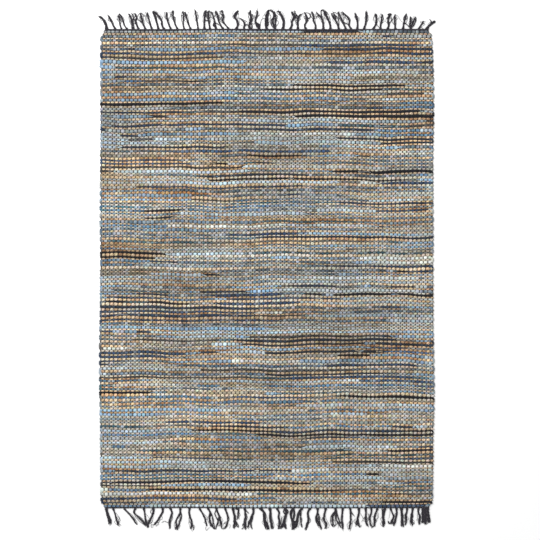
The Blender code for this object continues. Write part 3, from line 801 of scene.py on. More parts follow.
def read_between(table: np.ndarray, down: np.ndarray, over: np.ndarray) -> np.ndarray:
    """Reads a table between its cells.

    Args:
        table: the table.
        down: the places down it, from 0 at its first row to 1 at its last.
        over: the places across it, from 0 at its first column to 1 at its last.

    Returns:
        The values at those places.
    """
    last_row, last_column = (size - 1 for size in table.shape)
    row = np.clip(np.asarray(down) * last_row, 0, last_row - NEARLY_NONE)
    column = np.clip(np.asarray(over) * last_column, 0, last_column - NEARLY_NONE)
    y, x = row.astype(int), column.astype(int)
    below, beside = row - y, column - x
    upper = table[y, x] * (1 - beside) + table[y, x + 1] * beside
    lower = table[y + 1, x] * (1 - beside) + table[y + 1, x + 1] * beside
    return upper * (1 - below) + lower * below


def through(stops: Iterable[Span], at: object) -> object:
    """Reads a line that runs straight from stop to stop, each a place and the value there."""
    places, values = zip(*stops)
    return np.interp(at, places, values)


def waves_at(waves: Iterable[Wave], first: object, second: object) -> object:
    """Adds waves up at places given by their two quantities."""
    return sum(w.size * np.sin(w.first * first + w.second * second + w.phase) for w in waves)


def spline(before: object, here: object, there: object, after: object, share: float) -> object:
    """A smooth line's place, a share of the way from here to there, with the places before and after."""
    bend = (2 * before - 5 * here + 4 * there - after) + share * (3 * here - before - 3 * there + after)
    return here + 0.5 * share * ((there - before) + share * bend)


def directions(line: np.ndarray) -> np.ndarray:
    """The unit directions along a line, one at each of its points."""
    way = np.gradient(line, axis=0)
    return way / np.maximum(np.linalg.norm(way, axis=1, keepdims=True), NEARLY_NONE)


def smooth(places: np.ndarray, per_leg: int) -> np.ndarray:
    """Draws a smooth line through a few places.

    Args:
        places: the places, one to a row.
        per_leg: how many points each leg between two places gets.

    Returns:
        The points of the line.
    """
    padded = np.concatenate((2 * places[:1] - places[1:2], places, 2 * places[-1:] - places[-2:-1]))
    legs = zip(padded, padded[1:], padded[2:], padded[3:])
    points = [spline(*leg, share) for leg in legs for share in np.arange(per_leg) / per_leg]
    return np.array([*points, places[-1]])


@dataclass
class Strand:
    """One thread: its path, half its width and height at each point, and its dye.

    The dye's fourth number is the share of pale reverse. A rag strand takes the denim finish.
    """

    path: np.ndarray
    half_width: np.ndarray
    half_height: np.ndarray
    dye: np.ndarray
    rag: bool = False
    start: float = 0.0

    def aside(self) -> np.ndarray:
        """The level directions across the path, one at each point."""
        way = directions(self.path[:, :2])
        return np.column_stack((-way[:, 1], way[:, 0], np.zeros(len(way))))

    def run(self) -> np.ndarray:
        """The length along the path at each point, from the strand's own start."""
        gone = np.linalg.norm(np.diff(self.path, axis=0), axis=1)
        return self.start + np.concatenate(([0.0], np.cumsum(gone)))


class StrandLoom:
    """Turns strands into one finished piece, by a Geometry Nodes tree that sweeps each one's path."""

    THREAD_MAP = "thread"
    BAKE_MAP = "OFBake"
    TRIM = 0.07  # of a strand's strip in the bake map, kept clear on both sides
    END_TRIM = 0.01  # and of its length, at both ends

    def __init__(self) -> None:
        """Builds the sweeping tree once for all pieces."""
        self.tree = self._sweep()

    @staticmethod
    def _sweep() -> bpy.types.NodeTree:
        """Builds the tree: path to curve, to a tube with the strand's own width and height."""
        tree = bpy.data.node_groups.new("strand_sweep", "GeometryNodeTree")
        face = tree.interface
        face.new_socket("Geometry", in_out="INPUT", socket_type="NodeSocketGeometry")
        sides = face.new_socket("Sides", in_out="INPUT", socket_type="NodeSocketInt")
        sides.default_value = 5
        sides.min_value = 3
        face.new_socket("Yarn", in_out="INPUT", socket_type="NodeSocketMaterial")
        face.new_socket("Rag", in_out="INPUT", socket_type="NodeSocketMaterial")
        face.new_socket("Geometry", in_out="OUTPUT", socket_type="NodeSocketGeometry")
        made = TreeMaker(tree)
        given = tree.nodes.new("NodeGroupInput")
        inputs = {name: Sock(made, given.outputs[name]) for name in ("Geometry", "Sides", "Yarn", "Rag")}

        def named(name: str, kind: str) -> Sock:
            """Reads a named attribute of the path."""
            return made.node("GeometryNodeInputNamedAttribute", {"data_type": kind}, {"Name": name})

        def vector(operation: str, first: Sock, second: Sock, out: int = 0) -> Sock:
            """Adds a Vector Math node."""
            return made.node("ShaderNodeVectorMath", {"operation": operation}, {0: first, 1: second}, out)

        def times(line: Sock, factor: Sock) -> Sock:
            """Scales a vector."""
            return made.node("ShaderNodeVectorMath", {"operation": "SCALE"}, {0: line, "Scale": factor})

        curve = made.node("GeometryNodeMeshToCurve", None, {"Mesh": inputs["Geometry"]})
        curve = made.node("GeometryNodeSetCurveNormal", {"mode": "Z_UP"}, {"Curve": curve})
        ring = {"Resolution": inputs["Sides"], "Radius": 1.0}
        ring = made.node("GeometryNodeCurvePrimitiveCircle", None, ring)
        ring = {"Geometry": ring, "Rotation": (0.0, 0.0, -math.pi / 2)}
        ring = made.node("GeometryNodeTransform", None, ring)
        tube = {"Curve": curve, "Profile Curve": ring, "Fill Caps": True}
        tube = made.node("GeometryNodeCurveToMesh", None, tube)
        centre = named("centre", "FLOAT_VECTOR")
        aside = named("aside", "FLOAT_VECTOR")
        out_from = vector("SUBTRACT", made.node("GeometryNodeInputPosition"), centre)
        level = times(aside, vector("DOT_PRODUCT", out_from, aside, out=1))
        upright = vector("SUBTRACT", out_from, level)
        level = times(level, named("half_width", "FLOAT"))
        upright = times(upright, named("half_height", "FLOAT"))
        place = vector("ADD", centre, vector("ADD", level, upright))
        tube = made.node("GeometryNodeSetPosition", None, {"Geometry": tube, "Position": place})
        tube = made.node("GeometryNodeSetShadeSmooth", None, {0: tube, 2: True})
        tube = made.node("GeometryNodeRealizeInstances", None, {0: tube})
        tube = made.node("GeometryNodeSetMaterial", None, {0: tube, "Material": inputs["Yarn"]})
        rags = {0: tube, "Selection": named("rag", "FLOAT"), "Material": inputs["Rag"]}
        tube = made.node("GeometryNodeSetMaterial", None, rags)
        made.node("NodeGroupOutput", None, {0: tube})
        return tree

    def weave(
        self,
        name: str,
        strands: list[Strand],
        sides: int,
        yarn: bpy.types.Material,
        rag: bpy.types.Material | None = None,
        columns: int = 1,
    ) -> bpy.types.Object:
        """Makes one piece of many strands.

        Args:
            name: the piece's name.
            strands: its threads.
            sides: how many faces go round a thread.
            yarn: the material of the plain strands.
            rag: the material of the rag strands.
            columns: how many strands share a row of the bake map.

        Returns:
            The finished piece, at the origin.
        """
        path = self._path(name, strands)
        sweep = path.modifiers.new("sweep", "NODES")
        sweep.node_group = self.tree
        values = {"Sides": sides, "Yarn": yarn, "Rag": rag or yarn}
        for item in self.tree.interface.items_tree:
            if item.item_type == "SOCKET" and item.in_out == "INPUT" and item.name in values:
                sweep[item.identifier] = values[item.name]
        graph = bpy.context.evaluated_depsgraph_get()
        mesh = bpy.data.meshes.new_from_object(path.evaluated_get(graph), depsgraph=graph)
        bpy.data.objects.remove(path, do_unlink=True)
        mesh.name = name
        self._lay_maps(mesh, strands, sides, columns)
        piece = bpy.data.objects.new(name, mesh)
        bpy.context.scene.collection.objects.link(piece)
        LOG.info("%s: %d threads, %d faces", name, len(strands), len(mesh.polygons))
        return piece

    def weave_apart(
        self,
        name: str,
        strands: list[Strand],
        pieces: int,
        sides: int,
        yarn: bpy.types.Material,
        rag: bpy.types.Material | None = None,
    ) -> list[bpy.types.Object]:
        """Makes a few pieces, which take the strands in turn.

        Args:
            name: the start of each piece's name.
            strands: the threads of all the pieces.
            pieces: how many pieces there are.
            sides: how many faces go round a thread.
            yarn: the material of the plain strands.
            rag: the material of the rag strands.

        Returns:
            The pieces, named with letters.
        """
        return [
            self.weave(f"{name}_{letter}", strands[start::pieces], sides, yarn, rag)
            for start, letter in zip(range(pieces), "abcdef")
        ]

    @staticmethod
    def _path(name: str, strands: list[Strand]) -> bpy.types.Object:
        """Makes the paths as loose edges that carry what varies along them.

        Args:
            name: the piece's name.
            strands: its threads.

        Returns:
            The object that the tree sweeps.
        """
        counts = [len(strand.path) for strand in strands]
        places = np.concatenate([strand.path for strand in strands])
        starts = np.cumsum([0, *counts])
        firsts = np.concatenate([np.arange(start, end - 1) for start, end in zip(starts, starts[1:])])
        edges = np.column_stack((firsts, firsts + 1))
        mesh = bpy.data.meshes.new(name + "_path")
        mesh.vertices.add(len(places))
        mesh.vertices.foreach_set("co", places.astype(np.float32).ravel())
        mesh.edges.add(len(edges))
        mesh.edges.foreach_set("vertices", edges.astype(np.int32).ravel())
        varying = {
            ("centre", "FLOAT_VECTOR", "vector"): places,
            ("aside", "FLOAT_VECTOR", "vector"): np.concatenate([strand.aside() for strand in strands]),
            ("half_width", "FLOAT", "value"): np.concatenate([strand.half_width for strand in strands]),
            ("half_height", "FLOAT", "value"): np.concatenate([strand.half_height for strand in strands]),
            ("dye", "FLOAT_COLOR", "color"): np.concatenate([strand.dye for strand in strands]),
            ("rag", "FLOAT", "value"): np.repeat([float(strand.rag) for strand in strands], counts),
        }
        for (title, kind, key), values in varying.items():
            attribute = mesh.attributes.new(title, kind, "POINT")
            attribute.data.foreach_set(key, values.astype(np.float32).ravel())
        mesh.update()
        thing = bpy.data.objects.new(name + "_path", mesh)
        bpy.context.scene.collection.objects.link(thing)
        return thing

    def _lay_maps(self, mesh: bpy.types.Mesh, strands: list[Strand], sides: int, columns: int) -> None:
        """Gives the piece its two UV maps: metres along and turns round, and a strip for each strand.

        Args:
            mesh: the swept tubes, whose points come strand by strand and ring by ring.
            strands: the threads.
            sides: how many faces go round a thread.
            columns: how many strands share a row of the second map.
        """

        def read(items: object, key: str) -> np.ndarray:
            """Reads one whole number from each item of the mesh."""
            values = np.empty(len(items), dtype=np.int32)
            items.foreach_get(key, values)
            return values

        counts = np.array([len(strand.path) for strand in strands])
        swept = counts.sum() * sides
        if len(mesh.vertices) != swept:
            raise RuntimeError(f"{mesh.name}: {len(mesh.vertices)} points where {swept} were swept")
        run = np.concatenate([strand.run() for strand in strands])
        first = np.repeat(np.cumsum(counts) - counts, counts)
        length = run[np.repeat(np.cumsum(counts) - 1, counts)] - run[first]
        share = (run - run[first]) / length
        number = np.repeat(np.arange(len(strands)), counts)

        point, side = np.divmod(read(mesh.loops, "vertex_index"), sides)
        starts = read(mesh.polygons, "loop_start")
        has_first = np.minimum.reduceat(side, starts) == 0
        has_last = np.maximum.reduceat(side, starts) == sides - 1
        closes = np.repeat(has_first & has_last, read(mesh.polygons, "loop_total"))
        turns = np.where(closes & (side == 0), sides, side) / sides

        rows = math.ceil(len(strands) / columns)
        down = self.TRIM + (1 - 2 * self.TRIM) * turns
        over = self.END_TRIM + (1 - 2 * self.END_TRIM) * share[point]
        bake_u = (number[point] % columns + over) / columns
        bake_v = (number[point] // columns + down) / rows
        for title, u, v in ((self.BAKE_MAP, bake_u, bake_v), (self.THREAD_MAP, run[point], turns)):
            layer = mesh.uv_layers.new(name=title)
            layer.data.foreach_set("uv", np.column_stack((u, v)).astype(np.float32).ravel())
        for title in ("centre", "aside", "half_width", "half_height", "rag"):
            mesh.attributes.remove(mesh.attributes[title])


@dataclass(frozen=True)
class Cloth:
    """The plan of the woven field: where its selvedges, picks and warps run."""

    BOWS: ClassVar[tuple[Wave, ...]] = (Wave(7.9, 3.1, 0.6), Wave(12.4, -5.3, 0.4, 1.2))
    RIPPLES: ClassVar[tuple[Wave, ...]] = (
        Wave(21.0, 6.5, 0.5),
        Wave(33.0, -9.0, 0.3, 0.8),
        Wave(14.0, 17.0, 0.4, 2.1),
    )
    SWAYS: ClassVar[tuple[Wave, ...]] = (
        Wave(0.7, 9.0, 0.0006),
        Wave(2.3, 31.0, 0.0005),
        Wave(3.9, 73.0, 0.0004),
    )

    width: float = 1.200
    length: float = 1.717
    picks: int = 231
    warps: int = 156
    middle: float = 0.0035
    corner_inset: float = 0.014
    corner_length: float = 0.030
    bow_height: float = 0.0030
    ripple_height: float = 0.0022
    end_calm: float = 0.75
    calm_power: int = 6
    beat_points: int = 400
    shifts: np.ndarray | None = None
    shift_reach: float = 0.61

    def selvedge(self, along: np.ndarray, side: Side) -> np.ndarray:
        """How far across one selvedge stands, without its sign, at places along the rug."""
        outs = [(row.along, row.left if side is Side.LEFT else row.right) for row in SELVEDGES]
        from_end = self.length / 2 - np.abs(along)
        corner = self.corner_inset * np.maximum(0.0, 1 - from_end / self.corner_length) ** 2
        return self.width / 2 + through(outs, along) - corner

    def bow(self, across: np.ndarray, along: np.ndarray) -> np.ndarray:
        """How far the picks run off straight towards +Y in long waves, as their solid's ribs do."""
        return self.bow_height * self.calm(along) * waves_at(self.BOWS, across, along)

    def calm(self, along: np.ndarray) -> np.ndarray:
        """The share of its waves that a pick keeps, which falls near the ends."""
        return 1 - self.end_calm * (2 * along / self.length) ** self.calm_power

    def rest(self, number: np.ndarray) -> np.ndarray:
        """The straight place along the rug of a pick, counted from the far end, as it was beaten."""
        places = np.linspace(-self.length / 2, self.length / 2, self.beat_points)
        pitch = through(BEATS, places)
        count = np.concatenate(([0.0], np.cumsum(2 / (pitch[1:] + pitch[:-1]))))
        count *= self.picks / count[-1]
        return np.interp(self.picks - (number + 0.5), count, places)

    def pick_along(self, number: np.ndarray, across: np.ndarray) -> np.ndarray:
        """The place along the rug of a pick at places across it, with all its waves."""
        along = self.rest(number)
        ripple = self.ripple_height * self.calm(along) * waves_at(self.RIPPLES, across, along)
        along = along + self.bow(across, along) + ripple
        if self.shifts is None:
            return along
        over = (np.asarray(across) / self.shift_reach + 1) / 2
        return along + read_between(self.shifts, np.asarray(number) / (self.picks - 1), over)

    def warp_across(self, number: np.ndarray, along: np.ndarray) -> np.ndarray:
        """The place across the rug of a warp at places along it."""
        left = -self.selvedge(along, Side.LEFT)
        right = self.selvedge(along, Side.RIGHT)
        straight = left + (right - left) * (number + 0.5) / self.warps
        return straight + waves_at(self.SWAYS, number, along)


@dataclass
class YarnLots:
    """Broad patches of paler or darker thread, and of ashen jute with blue denim or golden with grey."""

    width: float
    length: float
    patch_width: float = 0.30
    patch_length: float = 0.045
    tone_spread: float = 0.19
    ash_spread: float = 0.46
    seed: int = 40

    def __post_init__(self) -> None:
        """Draws the patches."""
        chance = random.Random(self.seed)
        rows = round(self.length / self.patch_length) + 1
        columns = round(self.width / self.patch_width) + 1
        size = rows * columns
        tones = [chance.gauss(1, self.tone_spread) for _ in range(size)]
        ashes = [chance.gauss(0, self.ash_spread) for _ in range(size)]
        self.tones = np.reshape(tones, (rows, columns))
        self.ashes = np.reshape(ashes, (rows, columns))

    def look(self, points: np.ndarray) -> tuple[np.ndarray, np.ndarray]:
        """How the lots change the threads at places on the rug.

        Args:
            points: the places, one to a row.

        Returns:
            The factor on the thread's own tone, and how far its jute leans to ash and its denim to blue.
        """
        down = points[:, 1] / self.length + 0.5
        over = points[:, 0] / self.width + 0.5
        return read_between(self.tones, down, over), read_between(self.ashes, down, over)


@dataclass
class DenimThread:
    """The denim rag: strips of many shades laid end to end along one long thread."""

    WASHES: ClassVar[tuple[Wave, ...]] = (Wave(19, 1, 0.12), Wave(47, 2, 0.10))
    TWISTS: ClassVar[tuple[Wave, ...]] = (Wave(37, 1, 1.0), Wave(88, 2.3, 1.0), Wave(163, 4.1, 0.8))
    SWELLS: ClassVar[tuple[Wave, ...]] = (Wave(31, 3, 0.10), Wave(12, 1, 0.10))

    cloth: Cloth
    seed: int = 7
    first_length: float = 0.3
    shortest: float = 0.04
    longest: float = 0.75
    skew: float = 2.5
    overrun: float = 0.045
    edge_zone: float = 0.585
    taper: float = 0.035
    taper_share: float = 0.55
    tones: Span = (0.62, 1.38)
    bulks: Span = (0.74, 1.26)
    pales: Span = (0.5, 1.3)
    phases: Span = (0, 6)
    reverse: Triple = linear(196, 204, 210)
    reverse_most: float = 0.62
    reverse_edge: float = 0.5
    reverse_rarity: float = 2.0
    reverse_by_pale: float = 3.0
    shares: dict[Shade, float] = field(
        default_factory=lambda: {
            Shade.SLATE: 0.15,
            Shade.ICE: 0.13,
            Shade.SKY: 0.12,
            Shade.STONE: 0.10,
            Shade.NAVY: 0.08,
            Shade.DENIM: 0.08,
            Shade.TEAL: 0.08,
            Shade.DUSK: 0.05,
            Shade.BLACK: 0.04,
            Shade.INK: 0.04,
            Shade.CHARCOAL: 0.04,
            Shade.KHAKI: 0.04,
            Shade.WHITE: 0.04,
            Shade.INDIGO: 0.02,
        }
    )

    def cut(self, start: float, end: float, shade: Shade, chance: random.Random) -> Strip:
        """Cuts one strip, a little off its shade's own tone, bulk and paleness."""
        tone = chance.uniform(*self.tones)
        bulk = shade.bulk * chance.uniform(*self.bulks)
        pale = shade.reverse * chance.uniform(*self.pales)
        return Strip(start, end, shade, tone, bulk, pale, chance.uniform(*self.phases))

    def rows(self) -> list[list[Strip]]:
        """Lays random strips along the thread, then those that stand out over them.

        Returns:
            The strips of each denim pick, later ones over earlier ones.
        """
        chance = random.Random(self.seed)
        rows: list[list[Strip]] = []
        strip = self.cut(0, 0, Shade.STONE, chance)
        left_over = self.first_length
        reach = self.cloth.width / 2 + self.overrun
        for order in range(self.cloth.picks // 2 + 1):
            towards = 1 if order % 2 == 0 else -1
            at = -towards * reach
            row = []
            while towards * at < reach:
                end = at + towards * min(left_over, reach - towards * at)
                row.append(strip._replace(start=min(at, end), end=max(at, end)))
                left_over -= abs(end - at)
                at = end
                if left_over <= NEARLY_NONE:
                    shade = chance.choices(list(self.shares), list(self.shares.values()))[0]
                    strip = self.cut(0, 0, shade, chance)
                    share = chance.random() ** self.skew
                    left_over = self.shortest + (self.longest - self.shortest) * share
            rows.append(row)
        numbers = np.arange(0, self.cloth.picks, 2)
        for along, start, end, shade in STANDOUTS:
            nearest = np.abs(self.cloth.pick_along(numbers, (start + end) / 2) - along).argmin()
            start = -reach if start < -self.edge_zone else start
            end = reach if end > self.edge_zone else end
            rows[nearest].append(self.cut(start, end, shade, chance))
        return rows

    def look(self, row: list[Strip], across: np.ndarray) -> tuple[np.ndarray, np.ndarray]:
        """How one denim pick looks at places across the rug.

        Args:
            row: its strips.
            across: the places.

        Returns:
            Its dye, whose fourth number is the share of pale reverse, and its bulk against a common strip's.
        """
        dye = np.zeros((len(across), 4))
        bulk = np.ones(len(across))
        for strip in row:
            inside = (across >= strip.start) & (across <= strip.end)
            at = across[inside]
            wash = 1 + waves_at(self.WASHES, at, strip.phase)
            twist = waves_at(self.TWISTS, at, strip.phase)
            twist += self.reverse_by_pale * strip.pale - self.reverse_rarity
            turned = np.clip(twist / self.reverse_edge, 0, 1)
            turned *= self.reverse_most * min(strip.pale / MOSTLY_DYED, 1)
            face = np.outer((1 - turned) * wash * strip.tone, strip.shade.dye)
            dye[inside, :3] = face + np.outer(turned, self.reverse)
            dye[inside, 3] = strip.pale
            from_end = np.minimum(at - strip.start, strip.end - at) / self.taper
            narrow = self.taper_share + (1 - self.taper_share) * np.clip(from_end, 0, 1)
            swell = 1 + waves_at(self.SWELLS, at, strip.phase)
            bulk[inside] = strip.bulk * swell * (narrow if strip.shade.tapers else 1.0)
        return dye, bulk


@dataclass
class Settling:
    """How the picks bed together when they are beaten: a thick place pushes its neighbours aside."""

    JUTE_SWELLS: ClassVar[tuple[Triple, ...]] = ((3, 8, 0.12), (8, 20, 0.12), (20, 60, 0.10))

    cloth: Cloth
    denim: DenimThread
    rows: list[list[Strip]]
    columns: int = 123
    jute_size: float = 0.93
    uneven_picks: float = 0.36
    thin: float = 0.52
    thick: float = 1.50
    bend_spread: float = 1.6
    hold_spread: float = 6.0
    end_picks: float = 4.0
    seed: int = 17

    def sizes(self) -> np.ndarray:
        """How thick each pick is against a common one, one pick to a row, at places across the rug."""
        chance = random.Random(self.seed)
        across = np.linspace(-self.cloth.shift_reach, self.cloth.shift_reach, self.columns)
        table = []
        for number in range(self.cloth.picks):
            if number % 2 == 0:
                table.append(self.denim.look(self.rows[number // 2], across)[1])
                continue
            own = self.jute_size + chance.uniform(-self.uneven_picks, self.uneven_picks)
            size = np.full(self.columns, own)
            for slowest, fastest, swell in self.JUTE_SWELLS:
                rate = chance.uniform(slowest, fastest)
                size += swell * np.sin(rate * across + chance.uniform(0, math.tau))
            table.append(np.clip(size, self.thin, self.thick))
        return np.array(table)

    def settle(self, sizes: np.ndarray) -> Cloth:
        """Lets the picks settle.

        Args:
            sizes: how thick each pick is, as sizes gives it.

        Returns:
            The same cloth with its picks moved, by millimetres and only against their neighbours.
        """
        pitch = self.cloth.length / self.cloth.picks
        evened = blurred(sizes, self.bend_spread, 1)
        over = (evened[1:] + evened[:-1]) / 2 - 1
        shifts = -pitch * np.concatenate((np.zeros((1, self.columns)), np.cumsum(over, axis=0)))
        shifts -= blurred(shifts, self.hold_spread, 0)
        numbers = np.arange(self.cloth.picks)
        from_end = np.minimum(numbers, self.cloth.picks - 1 - numbers) / self.end_picks
        return replace(self.cloth, shifts=shifts * np.clip(from_end, 0, 1)[:, None])


@dataclass
class Weft:
    """The picks of jute and denim in turn, over and under the warps, with their turns at the selvedges."""

    GOLD: ClassVar[Triple] = linear(206, 180, 144)
    ASH: ClassVar[Triple] = linear(186, 182, 170)
    BROWN: ClassVar[Triple] = linear(166, 118, 74)
    ASH_PATCHES: ClassVar[tuple[Wave, ...]] = (Wave(9.0, 23.0, 0.18, 1.0), Wave(17.0, -41.0, 0.18, 2.6))
    TONE_PATCHES: ClassVar[tuple[Wave, ...]] = (Wave(6.0, -31.0, 0.05, 4.0),)
    # How far in from the selvedge a turn's points lie, and their shares of the way to the next pick
    DENIM_TURN: ClassVar[tuple[Span, ...]] = ((0.0090, -0.02), (0.0058, 0.06), (0.0038, 0.24), (0.0028, 0.50))
    JUTE_TURN: ClassVar[tuple[Span, ...]] = ((0.0090, 0.04), (0.0078, 0.20), (0.0072, 0.50))
    LAST_TURN: ClassVar[tuple[Span, ...]] = ((0.0030, 0.0), (0.0010, 0.0))

    cloth: Cloth
    denim: DenimThread
    rows: list[list[Strip]]
    sizes: np.ndarray
    lots: YarnLots
    pieces: int = 3
    sides: int = 5
    rise: float = 0.0013
    shoulder: float = 0.0036
    half_width: float = 0.0042
    half_height: float = 0.0020
    pinched_height: float = 0.0016
    pinched_share: float = 0.60
    height_share: float = 0.6
    lump_size: float = 0.10
    denim_lump: float = 0.14
    dark_denim_lump: float = 0.3
    dark_power: int = 4
    # Dye factors on the crowns and under the warps: the dark hollows are painted shade (on denim partly its
    # darker, unworn dye), and jute's brighter crowns are a painted highlight
    denim_crown: Triple = (0.95, 0.95, 0.95)
    denim_hollow_wear_and_shade: Triple = (0.34, 0.34, 0.36)
    jute_crown_highlight: Triple = (1.08, 1.08, 1.07)
    jute_hollow_shade: Triple = (0.62, 0.47, 0.32)
    denim_lean: Triple = (-0.12, 0.0, 0.12)
    tint: float = 0.035
    ash_bias: float = 0.26
    ash_by_pick: float = 0.38
    ash_by_lump: float = 0.45
    brown_share: float = 0.8
    jute_waves: int = 3
    wave_rates: Span = (3, 14)
    wave_sizes: Span = (0.1, 0.35)
    tone_by_lump: float = 0.20
    tone_by_pick: float = 0.21
    denim_turn_half: float = 0.0054
    jute_turn_half: float = 0.0020
    denim_turn_height: float = 0.0019
    jute_turn_height: float = 0.0012
    turn_drop: float = 0.0004
    turn_lift: float = 0.0014
    turn_bulge: float = 0.0018
    bulge_rate: float = 2.4
    # How much the turns at the selvedges are darkened: painted shade at the rim
    turn_painted_shade: float = 0.72
    seed: int = 21

    def path(self, number: int) -> tuple[np.ndarray, np.ndarray]:
        """The points of one pick between its last warps.

        Args:
            number: the pick, counted from the far end.

        Returns:
            The points, and which of them lie under a warp. The others are the two shoulders of a float.
        """
        warps = np.arange(self.cloth.warps)
        along = self.cloth.rest(number)
        centres = self.cloth.warp_across(warps, along)
        over = (warps + number) % 2 == 0
        floats, dips = centres[over], centres[~over]
        across = np.sort(np.concatenate((floats - self.shoulder, floats + self.shoulder, dips)))
        under = np.isin(across, dips)
        height = np.where(under, self.cloth.middle - self.rise, self.cloth.middle + self.rise)
        return np.column_stack((across, self.cloth.pick_along(number, across), height)), under

    def turn(self, number: int, side: Side) -> np.ndarray:
        """A pick's half of its turn into the next pick of its kind.

        Args:
            number: the pick, counted from the far end.
            side: the selvedge that it turns at.

        Returns:
            The points, outwards from the last warp.
        """
        order = number // 2
        to_next = (order % 2 == 0) == (side is Side.RIGHT)
        partner = number + 2 if to_next else number - 2
        across = side.value * float(self.cloth.selvedge(self.cloth.rest(number), side))
        here = float(self.cloth.pick_along(number, across))
        height = self.cloth.middle - self.turn_drop + (-self.turn_lift if number % 2 else self.turn_lift)
        if 0 <= partner < self.cloth.picks:
            rows = self.JUTE_TURN if number % 2 else self.DENIM_TURN
            away = float(self.cloth.pick_along(partner, across)) - here
            bulge = self.turn_bulge * math.sin(self.bulge_rate * (number + partner) + side.value)
            across += side.value * bulge
        else:
            rows = self.LAST_TURN
            away = 0.0
        return np.array([[across - side.value * inset, here + share * away, height] for inset, share in rows])

    def strand(self, number: int, chance: random.Random) -> Strand:
        """Makes one pick, turns and all.

        Args:
            number: the pick, counted from the far end.
            chance: what draws its lumps and tints.

        Returns:
            The pick, pinched under each warp and darker there: painted shade, and on denim partly its darker
            unworn dye.
        """
        left = self.turn(number, Side.LEFT)[::-1]
        inside, under = self.path(number)
        right = self.turn(number, Side.RIGHT)
        points = np.concatenate((left, inside, right))
        turned = np.ones(len(points), bool)
        turned[len(left) : -len(right)] = False
        pinched = np.zeros(len(points), bool)
        pinched[~turned] = under
        is_rag = number % 2 == 0
        lumps = np.array([chance.uniform(-1, 1) for _ in points])[np.cumsum(pinched)]
        lot_tone, ashen = self.lots.look(points)
        if is_rag:
            dye, bulk = self.denim.look(self.rows[number // 2], points[:, 0])
            lumpy = self.denim_lump + self.dark_denim_lump * (1 - dye[:, 3]) ** self.dark_power
            dye[:, :3] *= (lot_tone * (1 + lumpy * lumps))[:, None]
            dye[:, :3] *= 1 + np.outer(ashen, self.denim_lean)
            crown_light, hollow_wear_and_shade = self.denim_crown, self.denim_hollow_wear_and_shade
        else:
            dye = self.jute_dye(points, lumps, ashen, chance)
            dye[:, :3] *= lot_tone[:, None]
            reach = self.cloth.shift_reach
            places = np.linspace(-reach, reach, self.sizes.shape[1])
            bulk = np.interp(points[:, 0], places, self.sizes[number])
            crown_light, hollow_wear_and_shade = self.jute_crown_highlight, self.jute_hollow_shade
        # Paints shade into the hollows under the warps (on denim partly unworn dye) and a highlight onto the
        # jute crowns
        dye[:, :3] *= np.where(pinched[:, None], hollow_wear_and_shade, crown_light)
        tints = np.array([[chance.gauss(1, self.tint) for _ in range(3)] for _ in points])
        dye[:, :3] *= tints[np.cumsum(pinched)]
        # Painted shade on the turns at the rim
        dye[turned, :3] *= self.turn_painted_shade
        uneven = 1 + self.lump_size * lumps
        width = self.half_width * bulk * uneven * np.where(pinched, self.pinched_share, 1.0)
        height = np.where(pinched, self.pinched_height, self.half_height)
        height = height * (1 - self.height_share + self.height_share * bulk) * uneven
        width[turned] = self.denim_turn_half if is_rag else self.jute_turn_half
        height[turned] = self.denim_turn_height if is_rag else self.jute_turn_height
        return Strand(points, width, height, dye, is_rag, chance.uniform(0, MOST_START))

    def jute_dye(
        self, points: np.ndarray, lumps: np.ndarray, ashen: np.ndarray, chance: random.Random
    ) -> np.ndarray:
        """The dye of a jute pick: golden here, ashen or brown there.

        Args:
            points: its points.
            lumps: how lumpy it is at each of them, -1 to 1.
            ashen: how far its lot leans to ash at each of them.
            chance: what draws the rest.

        Returns:
            The dye at each point.
        """
        across, along = points[:, 0], points[:, 1]
        waves = []
        for _ in range(self.jute_waves):
            rate = chance.uniform(*self.wave_rates)
            phase = chance.uniform(0, math.tau)
            waves.append(Wave(rate, 0.0, chance.uniform(*self.wave_sizes), phase))
        lean = self.ash_bias + waves_at(self.ASH_PATCHES, across, along)
        lean += chance.uniform(-self.ash_by_pick, self.ash_by_pick) + ashen
        lean += waves_at(waves, across, along) + self.ash_by_lump * lumps
        to_ash = np.clip(lean, 0, 1)[:, None]
        to_brown = np.clip(-self.brown_share * lean, 0, 1)[:, None]
        gold, ash, brown = (np.array(dye) for dye in (self.GOLD, self.ASH, self.BROWN))
        colour = gold * (1 - to_ash - to_brown) + ash * to_ash + brown * to_brown
        tone = 1 + self.tone_by_lump * lumps + waves_at(self.TONE_PATCHES, across, along)
        tone += chance.uniform(-self.tone_by_pick, self.tone_by_pick)
        colour *= tone[:, None]
        return np.column_stack((colour, np.zeros(len(points))))

    def build(
        self, loom: StrandLoom, jute: bpy.types.Material, denim: bpy.types.Material
    ) -> list[bpy.types.Object]:
        """Makes the weft as a few pieces."""
        chance = random.Random(self.seed)
        picks = [self.strand(number, chance) for number in range(self.cloth.picks)]
        return loom.weave_apart("weft", picks, self.pieces, self.sides, jute, denim)


